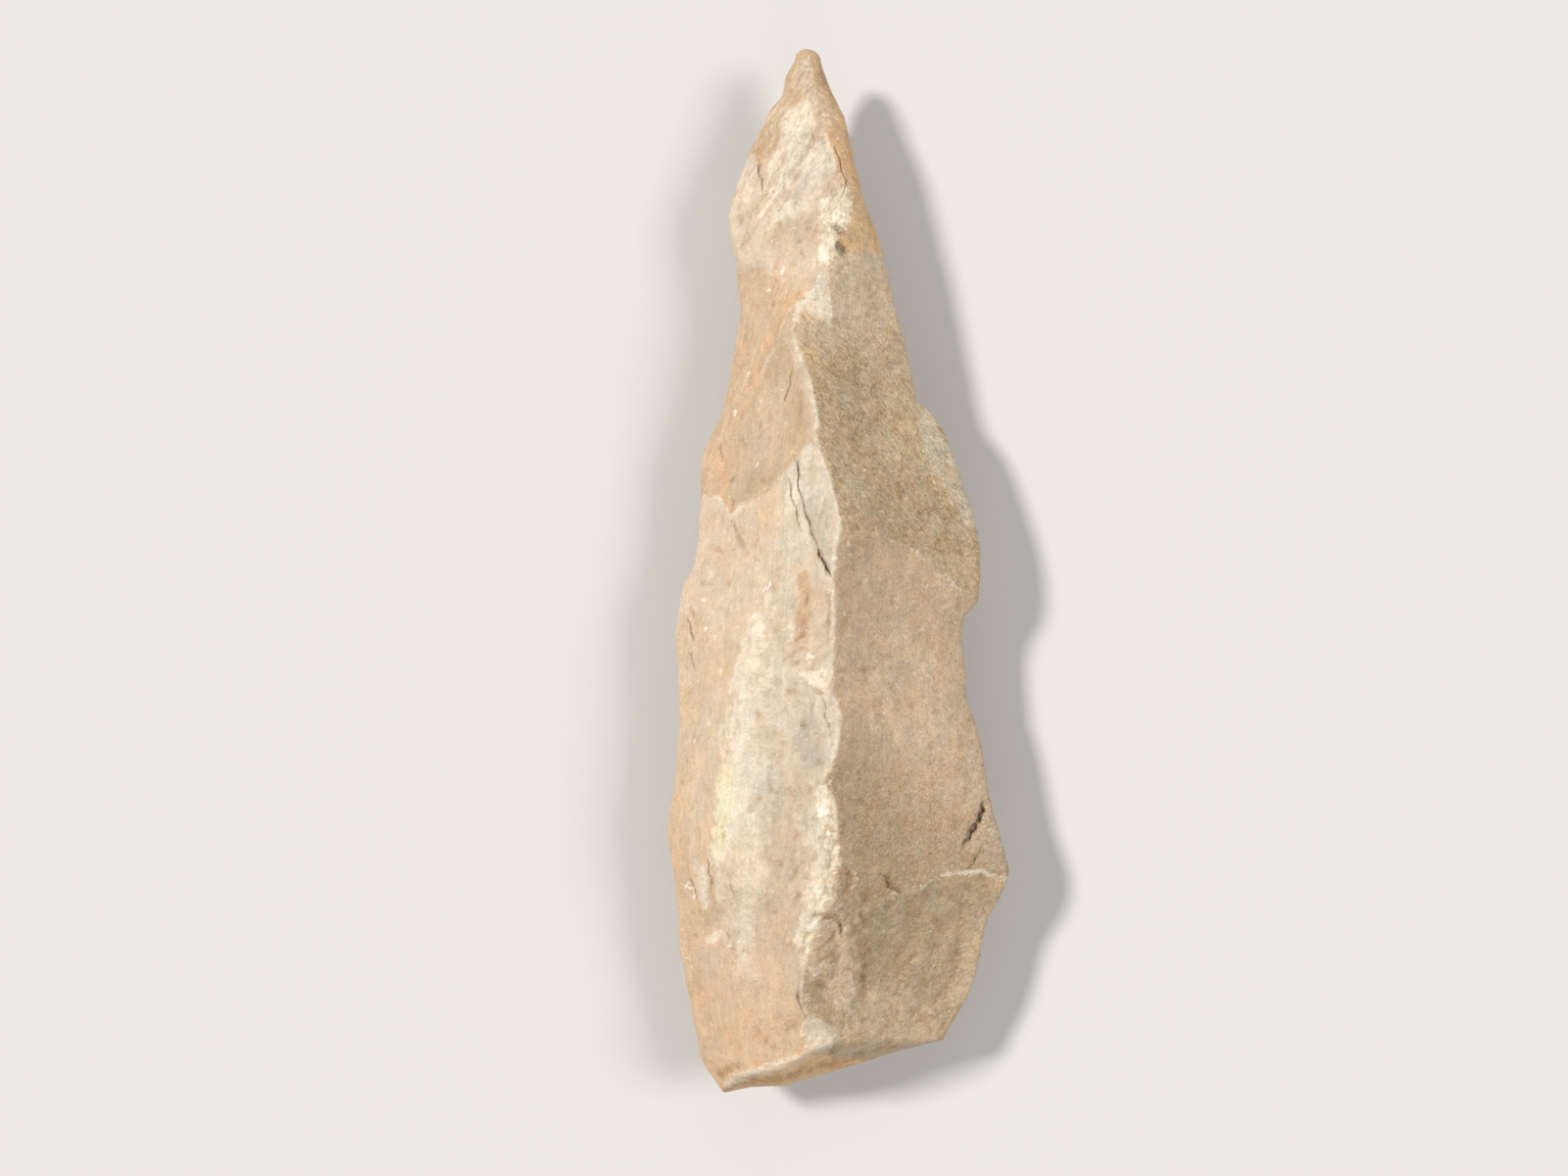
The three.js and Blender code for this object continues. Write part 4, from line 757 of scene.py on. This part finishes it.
CREST_LIVE = [(-108, 0), (-98, 0.35), (-88, 0.3), (-60, 0.3), (-52, 0.3), (-30, 0.25), (-20, 0.12), (-10, 0.25), (-3, 0.5), (10, 0.75), (20, 0.75), (28, 0.5), (36, 0.55), (42, 0.9), (58, 1), (64, 0.5), (70, 0)]


def convexity(H):
    """How far each point stands above its neighbours about 1.8 mm away."""
    rows_off = 2
    cols_off = 4
    P = np.pad(H, ((rows_off, rows_off), (cols_off, cols_off)), mode="edge")
    c = slice(cols_off, -cols_off)
    r = slice(rows_off, -rows_off)
    around = P[: -2 * rows_off, c] + P[2 * rows_off :, c] + P[r, : -2 * cols_off] + P[r, 2 * cols_off :]
    return H - around / 4


def crack_distance(names, u, v):
    """Signed distance to the nearest of some cracks in half widths, and how strong its painted shade is there."""
    best, signed, live = 1e9 + 0 * u, 9 + 0 * u, 0 * u
    for name in names:
        _, half, _, darkness, bends = CRACKS[name]
        r, sign, share = nearest(bends, u, v)
        open_here = step(-0.03, 0.14, share) * step(-0.03, 0.14, 1 - share) * (1 - step(1.6, 2.6, r)) * darkness
        m = r < best
        best, signed, live = np.where(m, r, best), np.where(m, sign * r / half, signed), np.where(m, open_here, live)
    return np.clip(signed, -9, 9), live


bulge_top = convexity(H)
bulge_top[:2] = bulge_top[-2:] = 0.1
bulge_top[:, :5] = bulge_top[:, -5:] = 0.1
bulge_low = convexity(-Z2)
bulge_low[:, :5] = bulge_low[:, -5:] = 0.1
bulge = np.concatenate([bulge_top.reshape(-1), bulge_low[1:, 1:-1].reshape(-1), [0.1]])
tones = masks(flat_u, flat_v, (is_low > 0.5) * 1.0)
tones["worn"] = step(0.12, 0.55, bulge) * (1 - 0.7 * tones["lower"]) * (1 - 0.75 * tones["patina"])
# concave spots, which the material darkens as painted shade
tones["hollow"] = step(0.05, 0.32, -bulge)
tones = {name: clamp(values) for name, values in tones.items()}
# signed distances to the cracks, and where their painted shade shows
tones["crack"], tones["crack_live"] = crack_distance([n for n in CRACKS if n not in SECOND_CRACKS], flat_u, flat_v)
tones["twin"], tones["twin_live"] = crack_distance(SECOND_CRACKS, flat_u, flat_v)
tones["crack_live"] = tones["crack_live"] * (is_low < 0.5)
tones["twin_live"] = tones["twin_live"] * (is_low < 0.5)
above_low = (is_low < 0.5) * 1.0
side_left = above_low * (flat_u < ridge_at(flat_v) - 0.4)
wob_u, wob_v = 1.5 * rough(flat_u, flat_v, 5.2, 3, 541), 1.5 * rough(flat_u, flat_v, 5.2, 3, 551)
tones["crest_d"] = np.clip(flat_u - ridge_at(flat_v), -6, 6)
tones["crest_live"] = above_low * along(CREST_LIVE, flat_v)
tones["diag_d"] = np.clip(along(DIAGONAL, flat_v + wob_v) - flat_u - wob_u, -6, 6)
tones["diag_live"] = side_left * step(42, 50, flat_v) * (1 - step(70, 78, flat_v))
tones["ragged_d"] = np.clip(flat_v + wob_v - along(RAGGED, flat_u + wob_u), -6, 6)
tones["ragged_live"] = side_left * step(-38, -34, flat_u) * (1 - 0.75 * step(-28, -22, flat_u)) * (1 - step(-14, -9, flat_u))
for name, values in tones.items():
    layer = mesh.attributes.new("m_" + name, "FLOAT", "POINT")
    layer.data.foreach_set("value", np.ascontiguousarray(values, dtype=np.float32))


# ---------------------------------------------------------------- material
stone = bpy.data.materials.new("weathered_stone")
stone.use_nodes = True
nt = stone.node_tree
bsdf = nt.nodes["Principled BSDF"]


def socket(target, value):
    if isinstance(value, bpy.types.NodeSocket):
        nt.links.new(value, target)
    else:
        target.default_value = value


def math_node(op, a, b=0.0, c=0.0, clamped=False):
    n = nt.nodes.new("ShaderNodeMath")
    n.operation = op
    n.use_clamp = clamped
    for k, value in enumerate((a, b, c)):
        socket(n.inputs[k], value)
    return n.outputs[0]


def times(a, b):
    return math_node("MULTIPLY", a, b)


def plus_times(a, b, c):
    return math_node("MULTIPLY_ADD", a, b, c)


def mixed(fac, a, b, blend="MIX"):
    n = nt.nodes.new("ShaderNodeMix")
    n.data_type = "RGBA"
    n.blend_type = blend
    socket(n.inputs[0], fac)
    socket(n.inputs[6], a)
    socket(n.inputs[7], b)
    return n.outputs[2]


def tinted(fac, a, rgb):
    """Part of the way to the colour multiplied by a tint."""
    return mixed(fac, a, mixed(1.0, a, (*rgb, 1.0), "MULTIPLY"))


def noise_node(scale, detail=2.0, roughness=0.5, vector=None, distortion=0.0):
    n = nt.nodes.new("ShaderNodeTexNoise")
    n.inputs["Scale"].default_value = scale
    n.inputs["Detail"].default_value = detail
    n.inputs["Roughness"].default_value = roughness
    n.inputs["Distortion"].default_value = distortion
    nt.links.new(vector if vector is not None else coords, n.inputs["Vector"])
    return n.outputs["Fac"]


def mapped(value, a, b, c=0.0, d=1.0):
    n = nt.nodes.new("ShaderNodeMapRange")
    n.interpolation_type = "SMOOTHSTEP"
    for k, x in enumerate((value, a, b, c, d)):
        socket(n.inputs[k], x)
    return n.outputs[0]


def layer_value(name):
    n = nt.nodes.new("ShaderNodeAttribute")
    n.attribute_type = "GEOMETRY"
    n.attribute_name = "m_" + name
    return n.outputs["Fac"]


def stretched(angle, sx, sy):
    """Coordinates turned in plan and stretched along the turned X axis."""
    n = nt.nodes.new("ShaderNodeMapping")
    n.vector_type = "TEXTURE"
    n.inputs["Rotation"].default_value = (0, 0, math.radians(angle))
    n.inputs["Scale"].default_value = (sx, sy, 1)
    nt.links.new(coords, n.inputs["Vector"])
    return n.outputs[0]


def centred(x):
    return math_node("SUBTRACT", x, 0.5)


coords = nt.nodes.new("ShaderNodeTexCoord").outputs["Object"]
cloud = noise_node(150, 6, 0.62)  # about 7 mm
blotch = noise_node(430, 5, 0.68)  # about 2.3 mm
grain = noise_node(1250, 3, 0.7)  # under 1 mm
dust = noise_node(3000, 2, 0.6)  # 0.3 mm
streak = noise_node(560, 3, 0.55, stretched(86, 4.5, 1.0), 0.6)  # along the stone
diagonal = noise_node(560, 3, 0.6, stretched(66, 5.0, 1.0), 0.5)
hair = noise_node(1850, 4, 0.72, stretched(-40, 4.0, 1.0), 1.1)
hair_b = noise_node(1800, 4, 0.72, stretched(24, 3.6, 1.0), 1.1)
cloud_c, blotch_c, grain_c, dust_c = centred(cloud), centred(blotch), centred(grain), centred(dust)

TINTS = {  # linear
    "salmon": (0.635, 0.485, 0.340), "rose": (0.615, 0.480, 0.350), "blush": (0.620, 0.500, 0.372), "sand": (0.610, 0.530, 0.415),
    "cream": (0.655, 0.575, 0.455), "chalk": (0.720, 0.650, 0.520), "milk": (0.790, 0.720, 0.590), "straw": (0.730, 0.670, 0.455),
    "clay": (0.540, 0.412, 0.288), "fawn": (0.520, 0.390, 0.268), "peach": (0.600, 0.440, 0.305), "rust": (0.570, 0.375, 0.225), "orange": (0.580, 0.412, 0.268),
    "ochre": (0.510, 0.360, 0.220), "gold": (0.680, 0.500, 0.310), "mauve": (0.600, 0.450, 0.314), "olive": (0.485, 0.362, 0.230),
    "drab": (0.580, 0.455, 0.305), "umber": (0.500, 0.382, 0.250), "slate": (0.405, 0.338, 0.268), "ash": (0.500, 0.440, 0.355),
    "lilac": (0.650, 0.575, 0.470), "bistre": (0.330, 0.270, 0.205), "tan": (0.475, 0.330, 0.198), "amber": (0.640, 0.430, 0.243),
    "moss": (0.460, 0.345, 0.222), "stoneware": (0.505, 0.400, 0.290), "brick": (0.490, 0.325, 0.205), "honey": (0.700, 0.475, 0.264), "snow": (0.830, 0.768, 0.640), "russet": (0.512, 0.378, 0.248), "dun": (0.524, 0.402, 0.291), "mushroom": (0.550, 0.408, 0.276), "biscuit": (0.655, 0.508, 0.356),
}
# zone, tint, share of a second tint, how strongly noise breaks its edge, softness of the edge, strength
ZONES = [
    ("flank", "salmon", None, 0, 0.6, 0.35, 0.9), ("flank_pale", "blush", None, 0, 0.8, 0.5, 0.55), ("mid_pink", "blush", None, 0, 0.7, 0.4, 0.85),
    ("mid_pale", "sand", None, 0, 0.8, 0.4, 0.85), ("plateau", "sand", None, 0, 0.6, 0.4, 0.9),
    # second_wide: painted highlight along the second ridge
    ("second_wide", "chalk", None, 0, 1.1, 0.5, 0.8), ("plateau_low", "dun", "ash", 0.2, 0.8, 0.45, 0.97), ("plateau_pale", "sand", None, 0, 0.9, 0.5, 0.45),
    ("bl_pink", "peach", "rose", 0.2, 0.6, 0.4, 0.95), ("bl_pale", "blush", "cream", 0.3, 1.0, 0.5, 0.65),
    ("bl_shade", "clay", None, 0, 0.8, 0.45, 0.92), ("bl_band", "cream", "milk", 0.3, 0.8, 0.45, 0.6),
    ("bl_hollow", "ochre", "clay", 0.4, 0.8, 0.45, 0.72), ("bl_chips", "chalk", "rose", 0.3, 1.0, 0.35, 0.95), ("bl_orange", "orange", "rust", 0.5, 0.9, 0.45, 0.75), ("bl_rose", "peach", "orange", 0.3, 0.9, 0.5, 0.65),
    ("bl_edge", "orange", None, 0, 0.9, 0.4, 0.78), ("pale_low", "cream", "blush", 0.3, 1.1, 0.5, 0.65),
    # second and second_sun: painted highlight along the second ridge
    ("second", "milk", "cream", 0.5, 1.3, 0.3, 0.75), ("second_sun", "straw", None, 0, 1.4, 0.3, 0.85),
    ("red", "salmon", "orange", 0.95, 0.4, 0.25, 0.95), ("red_deep", "rust", "orange", 0.1, 0.9, 0.4, 0.85),
    ("facet", "russet", None, 0, 0.5, 0.3, 0.95), ("facet_rosy", "clay", "rose", 0.5, 0.9, 0.4, 0.5), ("tip_low", "rose", "cream", 0.4, 0.8, 0.35, 0.95),
    ("tip_cream", "rose", "blush", 0.4, 0.8, 0.35, 0.95),
    ("tip_white", "chalk", "milk", 0.3, 1.5, 0.4, 0.78), ("tip_tan", "tan", None, 0, 1.0, 0.4, 0.9),
    ("tip_lilac", "lilac", None, 0, 1.0, 0.4, 0.75), ("tip_pink", "rose", "clay", 0.2, 1.0, 0.4, 0.8),
    ("tip_line", "milk", None, 0, 0.9, 0.4, 0.9),
    # tip_warm: painted shadow beside the tip's step
    ("tip_strip", "amber", None, 0, 0.7, 0.4, 0.95), ("tip_warm", "ochre", None, 0, 1.0, 0.4, 0.6),
    ("knob", "orange", "ochre", 1.0, 0.6, 0.4, 0.9), ("knob_pink", "mauve", "clay", 0.4, 0.8, 0.4, 0.85),
    ("scar", "mauve", None, 0, 0.3, 0.2, 1.0), ("scar_top", "mushroom", None, 0, 0.8, 0.45, 0.7), ("scar_mid", "biscuit", None, 0, 0.8, 0.5, 0.75), ("scar_low", "moss", None, 0, 0.8, 0.5, 0.9),
    ("scar_edge", "stoneware", None, 0, 0.9, 0.45, 0.6), ("lower", "umber", "moss", 0.8, 0.5, 0.3, 1.0),
    ("lower_pale", "drab", "clay", 0.4, 0.9, 0.45, 0.95), ("brown", "drab", None, 0, 0.3, 0.15, 1.0),
    ("brown_deep", "umber", None, 0, 1.0, 0.45, 0.7), ("brown_rim", "sand", None, 0, 0.8, 0.4, 0.85),
    ("steps", "salmon", "sand", 0.2, 0.9, 0.4, 0.9), ("steps_dark", "umber", "drab", 0.3, 0.9, 0.4, 0.35),
    ("facet_white", "cream", "chalk", 0.2, 0.7, 0.25, 0.9), ("slab", "ash", "rose", 0.25, 0.3, 0.2, 0.95),
    ("slab_pale", "cream", "rose", 0.5, 1.0, 0.4, 0.6), ("sliver", "cream", None, 0, 1.3, 0.3, 0.85), ("blue", "slate", "ash", 0.4, 1.0, 0.45, 0.75),
    ("rosy", "rose", "clay", 0.55, 0.9, 0.45, 0.72), ("stain", "brick", "rust", 0.3, 1.4, 0.5, 1.0), ("stain_b", "brick", "bistre", 0.35, 1.0, 0.4, 0.85),
    ("chip", "chalk", "blush", 0.5, 1.3, 0.25, 0.95), ("butt", "honey", None, 0, 0.4, 0.25, 1.0),
    ("hinge", "milk", "chalk", 0.4, 1.6, 0.35, 0.9), ("ridge_soft", "cream", "chalk", 0.5, 1.6, 0.5, 0.85), ("ridge_low", "milk", None, 0, 2.0, 0.3, 0.9),
    ("knot", "snow", "straw", 0.2, 1.7, 0.5, 0.92), ("knot_brown", "clay", "umber", 0.4, 1.0, 0.3, 0.85), ("knot_dark", "bistre", None, 0, 1.0, 0.3, 0.9),
    ("under", "clay", "rose", 0.25, 0.2, 0.3, 1.0), ("under_patina", "olive", None, 0, 1.0, 0.4, 0.85),
]
colour = (0.600, 0.470, 0.335, 1.0)
edge_noise = math_node("ADD", cloud_c, blotch_c)
for name, tint, second_tint, amount, ragged, soft, strength in ZONES:
    layer = layer_value(name)
    raised = plus_times(times(edge_noise, mapped(layer, 0.0, 0.5)), ragged * 1.8, layer)
    rgb = TINTS[tint]
    if second_tint:
        rgb = tuple(a + (b - a) * amount for a, b in zip(rgb, TINTS[second_tint]))
    share = mapped(raised, 0.5 - soft, 0.5 + soft, 0.0, strength)
    colour = mixed(share, colour, (*rgb, 1.0))

# drifting patches of warmer, cooler, paler and duller stone
brown, red, under_m = layer_value("brown"), layer_value("red"), layer_value("under")
colour = tinted(mapped(noise_node(120, 4, 0.6), 0.46, 0.60, 0.0, 0.6), colour, (1.045, 0.965, 0.88))
colour = tinted(mapped(noise_node(175, 4, 0.6, stretched(84, 1.8, 1.0), 0.6), 0.49, 0.61, 0.0, 0.8), colour, (0.945, 0.99, 1.03))
colour = tinted(mapped(noise_node(290, 4, 0.62, stretched(82, 2.6, 1.0), 0.5), 0.50, 0.62, 0.0, 0.8), colour, (1.055, 1.07, 1.09))
colour = tinted(mapped(noise_node(310, 7, 0.72, stretched(80, 2.5, 1.0), 0.8), 0.52, 0.62, 0.0, 0.7), colour, (0.925, 0.885, 0.83))

# chalky bloom drifting along the crest and over the broken tip
bloom = mapped(noise_node(165, 7, 0.72, stretched(84, 2.2, 1.0), 1.2), 0.49, 0.66, 0.0, 0.5)
colour = mixed(times(bloom, times(layer_value("bloom"), math_node("SUBTRACT", 1.0, layer_value("blue")))), colour, (*TINTS["milk"], 1.0))
tip_cream = layer_value("tip_cream")
colour = mixed(times(mapped(noise_node(330, 7, 0.72, stretched(58, 2.6, 1.0), 0.8), 0.50, 0.66, 0.0, 0.5), tip_cream), colour, (*TINTS["milk"], 1.0))
colour = mixed(times(mapped(noise_node(300, 7, 0.72, stretched(60, 4.0, 1.0), 0.8), 0.52, 0.64, 0.0, 0.6), tip_cream), colour, (*TINTS["rose"], 1.0))

# mottling in value
calm, streaked = layer_value("calm"), layer_value("streaked")
fibre = noise_node(1250, 2, 0.6, stretched(84, 3.4, 1.0), 1.0)  # along the stone
slant = noise_node(1150, 3, 0.65, stretched(60, 3.6, 1.0), 0.9)  # across the broken tip
value = plus_times(cloud_c, 0.34, 1.0)
value = plus_times(blotch_c, plus_times(calm, -0.28, 0.58), value)
value = plus_times(grain_c, plus_times(calm, -0.46, 0.82), value)
value = plus_times(dust_c, plus_times(calm, -0.38, 0.65), value)
value = plus_times(centred(streak), plus_times(brown, -0.38, plus_times(streaked, 0.03, 0.38)), value)
value = plus_times(centred(fibre), times(streaked, 0.31), value)
value = plus_times(centred(diagonal), times(red, 0.5), value)
value = plus_times(centred(slant), math_node("ADD", times(tip_cream, 0.8), times(red, 0.35)), value)
grey = nt.nodes.new("ShaderNodeCombineColor")
for k in range(3):
    nt.links.new(value, grey.inputs[k])
colour = mixed(1.0, colour, grey.outputs[0], "MULTIPLY")

# fine pale scratches along the stone
scratch = noise_node(2300, 2, 0.6, stretched(85, 7.0, 1.0), 1.0)
sites = mapped(noise_node(210, 5, 0.65), 0.48, 0.64, 0.0, 0.8)
colour = tinted(times(times(mapped(scratch, 0.56, 0.66), sites), plus_times(layer_value("patina"), -0.8, 0.8)), colour, (1.16, 1.17, 1.18))
colour = tinted(times(times(mapped(scratch, 0.44, 0.35), sites), plus_times(layer_value("patina"), -0.7, 0.7)), colour, (0.87, 0.83, 0.78))

# the old brown patina: short dark and pale fibres in drifting patches
patina, lower_fibre = layer_value("patina"), layer_value("lower_fibre")
upper_fibre = math_node("SUBTRACT", 1.0, lower_fibre)
patch = mapped(noise_node(220, 7, 0.66), 0.36, 0.62, 0.5, 1.0)
main_hair = math_node("ADD", times(hair, upper_fibre), times(hair_b, lower_fibre))
cross_hair = math_node("ADD", times(hair_b, upper_fibre), times(hair, lower_fibre))
colour = tinted(times(patina, mapped(patch, 0.5, 1.0, 0.0, 0.8)), colour, (0.95, 0.925, 0.89))
colour = tinted(times(patina, times(patch, mapped(main_hair, 0.50, 0.59))), colour, (0.62, 0.56, 0.48))
colour = tinted(times(patina, times(patch, mapped(cross_hair, 0.54, 0.62, 0.0, 0.65))), colour, (0.80, 0.76, 0.70))
colour = tinted(times(patina, mapped(main_hair, 0.46, 0.38)), colour, (1.32, 1.31, 1.28))
colour = tinted(times(patina, times(patch, mapped(grain, 0.52, 0.66, 0.0, 0.8))), colour, (0.72, 0.68, 0.62))
colour = tinted(times(patina, mapped(grain, 0.44, 0.34, 0.0, 0.8)), colour, (1.16, 1.15, 1.12))

# hollows are darkened with painted shade, crumbled arrises are bruised pale
hollow_shade = times(layer_value("hollow"), plus_times(tip_cream, -0.65, 1.0))
colour = tinted(times(hollow_shade, mapped(blotch, 0.32, 0.6, 0.3, 1.0)), colour, (0.70, 0.61, 0.50))
crumb = plus_times(grain_c, 1.5, plus_times(blotch_c, 1.9, layer_value("worn")))
colour = mixed(times(mapped(crumb, 0.45, 1.0, 0.0, 0.6), mapped(layer_value("worn"), 0.02, 0.3)), colour, (0.690, 0.595, 0.455, 1))
crumb = plus_times(cloud_c, 1.6, plus_times(dust_c, 0.4, plus_times(grain_c, 1.2, plus_times(blotch_c, 1.8, layer_value("rim")))))
colour = mixed(times(mapped(crumb, 0.34, 0.92, 0.0, 0.85), mapped(layer_value("rim"), 0.02, 0.25)), colour, (0.730, 0.645, 0.510, 1))
cells = nt.nodes.new("ShaderNodeTexVoronoi")
cells.inputs["Scale"].default_value = 640
nt.links.new(coords, cells.inputs["Vector"])
cell = nt.nodes.new("ShaderNodeSeparateColor")
nt.links.new(cells.outputs["Color"], cell.inputs[0])
cell, between = cell.outputs[0], plus_times(grain_c, 0.8, cells.outputs["Distance"])
crumbly = layer_value("crumbly")
colour = tinted(times(crumbly, mapped(cell, 0.50, 0.80, 0.0, 0.9)), colour, (1.13, 1.15, 1.18))
colour = tinted(times(crumbly, mapped(cell, 0.30, 0.08, 0.0, 0.75)), colour, (0.86, 0.80, 0.72))
colour = tinted(times(crumbly, mapped(between, 0.46, 0.68, 0.0, 0.7)), colour, (0.80, 0.73, 0.63))


def edge_line(colour, name, live, lean, width, strength, rgb):
    """A crisp, broken line where a signed distance in millimetres is about lean."""
    d = plus_times(grain_c, 1.8, plus_times(blotch_c, 2.8, layer_value(name)))
    off = math_node("ABSOLUTE", math_node("SUBTRACT", d, lean))
    broken = mapped(noise_node(330, 4, 0.65), 0.43, 0.60, 0.05, 1.0)
    return mixed(times(times(mapped(off, width, width * 0.3, 0.0, strength), broken), layer_value(live)), colour, (*rgb, 1.0))


crest = plus_times(blotch_c, 2.4, plus_times(centred(fibre), 1.6, layer_value("crest_d")))
halo = times(mapped(crest, -3.8, -0.7), mapped(crest, 0.7, 0.1))
colour = mixed(times(halo, times(layer_value("crest_live"), 0.5)), colour, (0.680, 0.590, 0.465, 1.0))
colour = edge_line(colour, "crest_d", "crest_live", 0.05, 1.05, 0.85, (0.800, 0.725, 0.590))
colour = edge_line(colour, "diag_d", "diag_live", 0.0, 0.6, 0.4, (0.760, 0.650, 0.500))
colour = edge_line(colour, "ragged_d", "ragged_live", 0.0, 1.1, 0.8, (0.790, 0.710, 0.580))
fleck = plus_times(grain_c, 1.8, layer_value("fleck"))
colour = mixed(mapped(fleck, 0.42, 0.9, 0.0, 0.9), colour, (0.79, 0.725, 0.60, 1))
speck = plus_times(cloud_c, 0.10, noise_node(900, 2, 0.45))
colour = mixed(mapped(speck, 0.665, 0.74, 0.0, 0.62), colour, (0.74, 0.66, 0.52, 1))
colour = tinted(mapped(noise_node(1050, 2, 0.45), 0.68, 0.76, 0.0, 0.6), colour, (0.55, 0.46, 0.37))


# open cracks, painted dark as the shade inside them: thin, wandering, now and then closed
def crack_shade_lines(colour, name, live, colour_rgb):
    wander = math_node("ABSOLUTE", plus_times(grain_c, 2.6, plus_times(blotch_c, 2.2, layer_value(name))))
    reach = plus_times(centred(streak), 1.6, plus_times(blotch_c, 1.4, 0.62))
    dark = mapped(math_node("SUBTRACT", reach, wander), -0.2, 0.5, 0.0, 0.85)
    return mixed(times(dark, layer_value(live)), colour, (*colour_rgb, 1.0))


colour = crack_shade_lines(colour, "crack", "crack_live", (0.105, 0.072, 0.048))
colour = crack_shade_lines(colour, "twin", "twin_live", (0.20, 0.14, 0.095))
nt.links.new(colour, bsdf.inputs["Base Color"])

rough_value = plus_times(blotch_c, 0.35, 0.74)
rough_value = plus_times(brown, 0.08, rough_value)
rough_value = math_node("MULTIPLY_ADD", layer_value("worn"), -0.08, rough_value, True)
nt.links.new(rough_value, bsdf.inputs["Roughness"])
bsdf.inputs["Specular IOR Level"].default_value = 0.32

fine = plus_times(grain, 0.9, times(blotch, 1.3))
fine = plus_times(dust, 0.4, fine)
fine = plus_times(main_hair, times(patina, 1.4), fine)
fine = plus_times(streak, 0.6, fine)
fine = plus_times(crumb, 0.25, fine)
fine = plus_times(crumbly, plus_times(cells.outputs["Distance"], -1.6, 0.4), fine)
fine = plus_times(fibre, times(streaked, 0.5), fine)
fine = plus_times(slant, times(tip_cream, 1.0), fine)
bump = nt.nodes.new("ShaderNodeBump")
bump.inputs["Strength"].default_value = 0.8
bump.inputs["Distance"].default_value = 0.0004
nt.links.new(fine, bump.inputs["Height"])
nt.links.new(bump.outputs[0], bsdf.inputs["Normal"])
mesh.materials.append(stone)

# ---------------------------------------------------------------- floor, lights, camera
floor_mesh = bpy.data.meshes.new("floor")
size = 3.0
floor_mesh.from_pydata([(-size, -size, 0), (size, -size, 0), (size, size, 0), (-size, size, 0)], [], [(0, 1, 2, 3)])
floor = bpy.data.objects.new("floor", floor_mesh)
floor_mat = bpy.data.materials.new("pale_floor")
floor_mat.use_nodes = True
floor_mat.node_tree.nodes["Principled BSDF"].inputs["Base Color"].default_value = (0.62, 0.61, 0.6, 1)
floor_mat.node_tree.nodes["Principled BSDF"].inputs["Roughness"].default_value = 0.9
floor_mesh.materials.append(floor_mat)
bpy.context.collection.objects.link(floor)


def sun(name, azimuth, elevation, strength, angle, colour):
    data = bpy.data.lights.new(name, "SUN")
    data.energy = strength
    data.angle = math.radians(angle)
    data.color = colour
    lamp = bpy.data.objects.new(name, data)
    lamp.rotation_euler = (math.radians(90 - elevation), 0, math.radians(azimuth + 90))
    bpy.context.collection.objects.link(lamp)


sun("key", 158, 42, 3.15, 9, (1.0, 0.965, 0.92))
sun("fill", 5, 45, 1.6, 25, (1.0, 0.97, 0.94))
sun("front", 275, 30, 0.35, 40, (1.0, 0.98, 0.96))
sun("back", 80, 35, 0.25, 40, (1.0, 0.98, 0.96))
world = bpy.data.worlds.new("studio")
world.use_nodes = True
world.node_tree.nodes["Background"].inputs["Color"].default_value = (1.0, 0.99, 0.98, 1)
world.node_tree.nodes["Background"].inputs["Strength"].default_value = 0.24
bpy.context.scene.world = world
bpy.context.scene.view_settings.view_transform = "Standard"

cam_data = bpy.data.cameras.new("camera")
cam_data.sensor_width = 36
cam_data.lens = 36 * VIEW[2] / (1600 / 3.8)
cam = bpy.data.objects.new("camera", cam_data)
cam.location = ((VIEW[0] + CENTRE_SHIFT) / 1000, VIEW[1] / 1000, (VIEW[2] + EDGE_Z) / 1000)
cam.rotation_euler = (0, 0, 0)
cam_data.clip_start = 0.01
bpy.context.collection.objects.link(cam)
bpy.context.scene.camera = cam
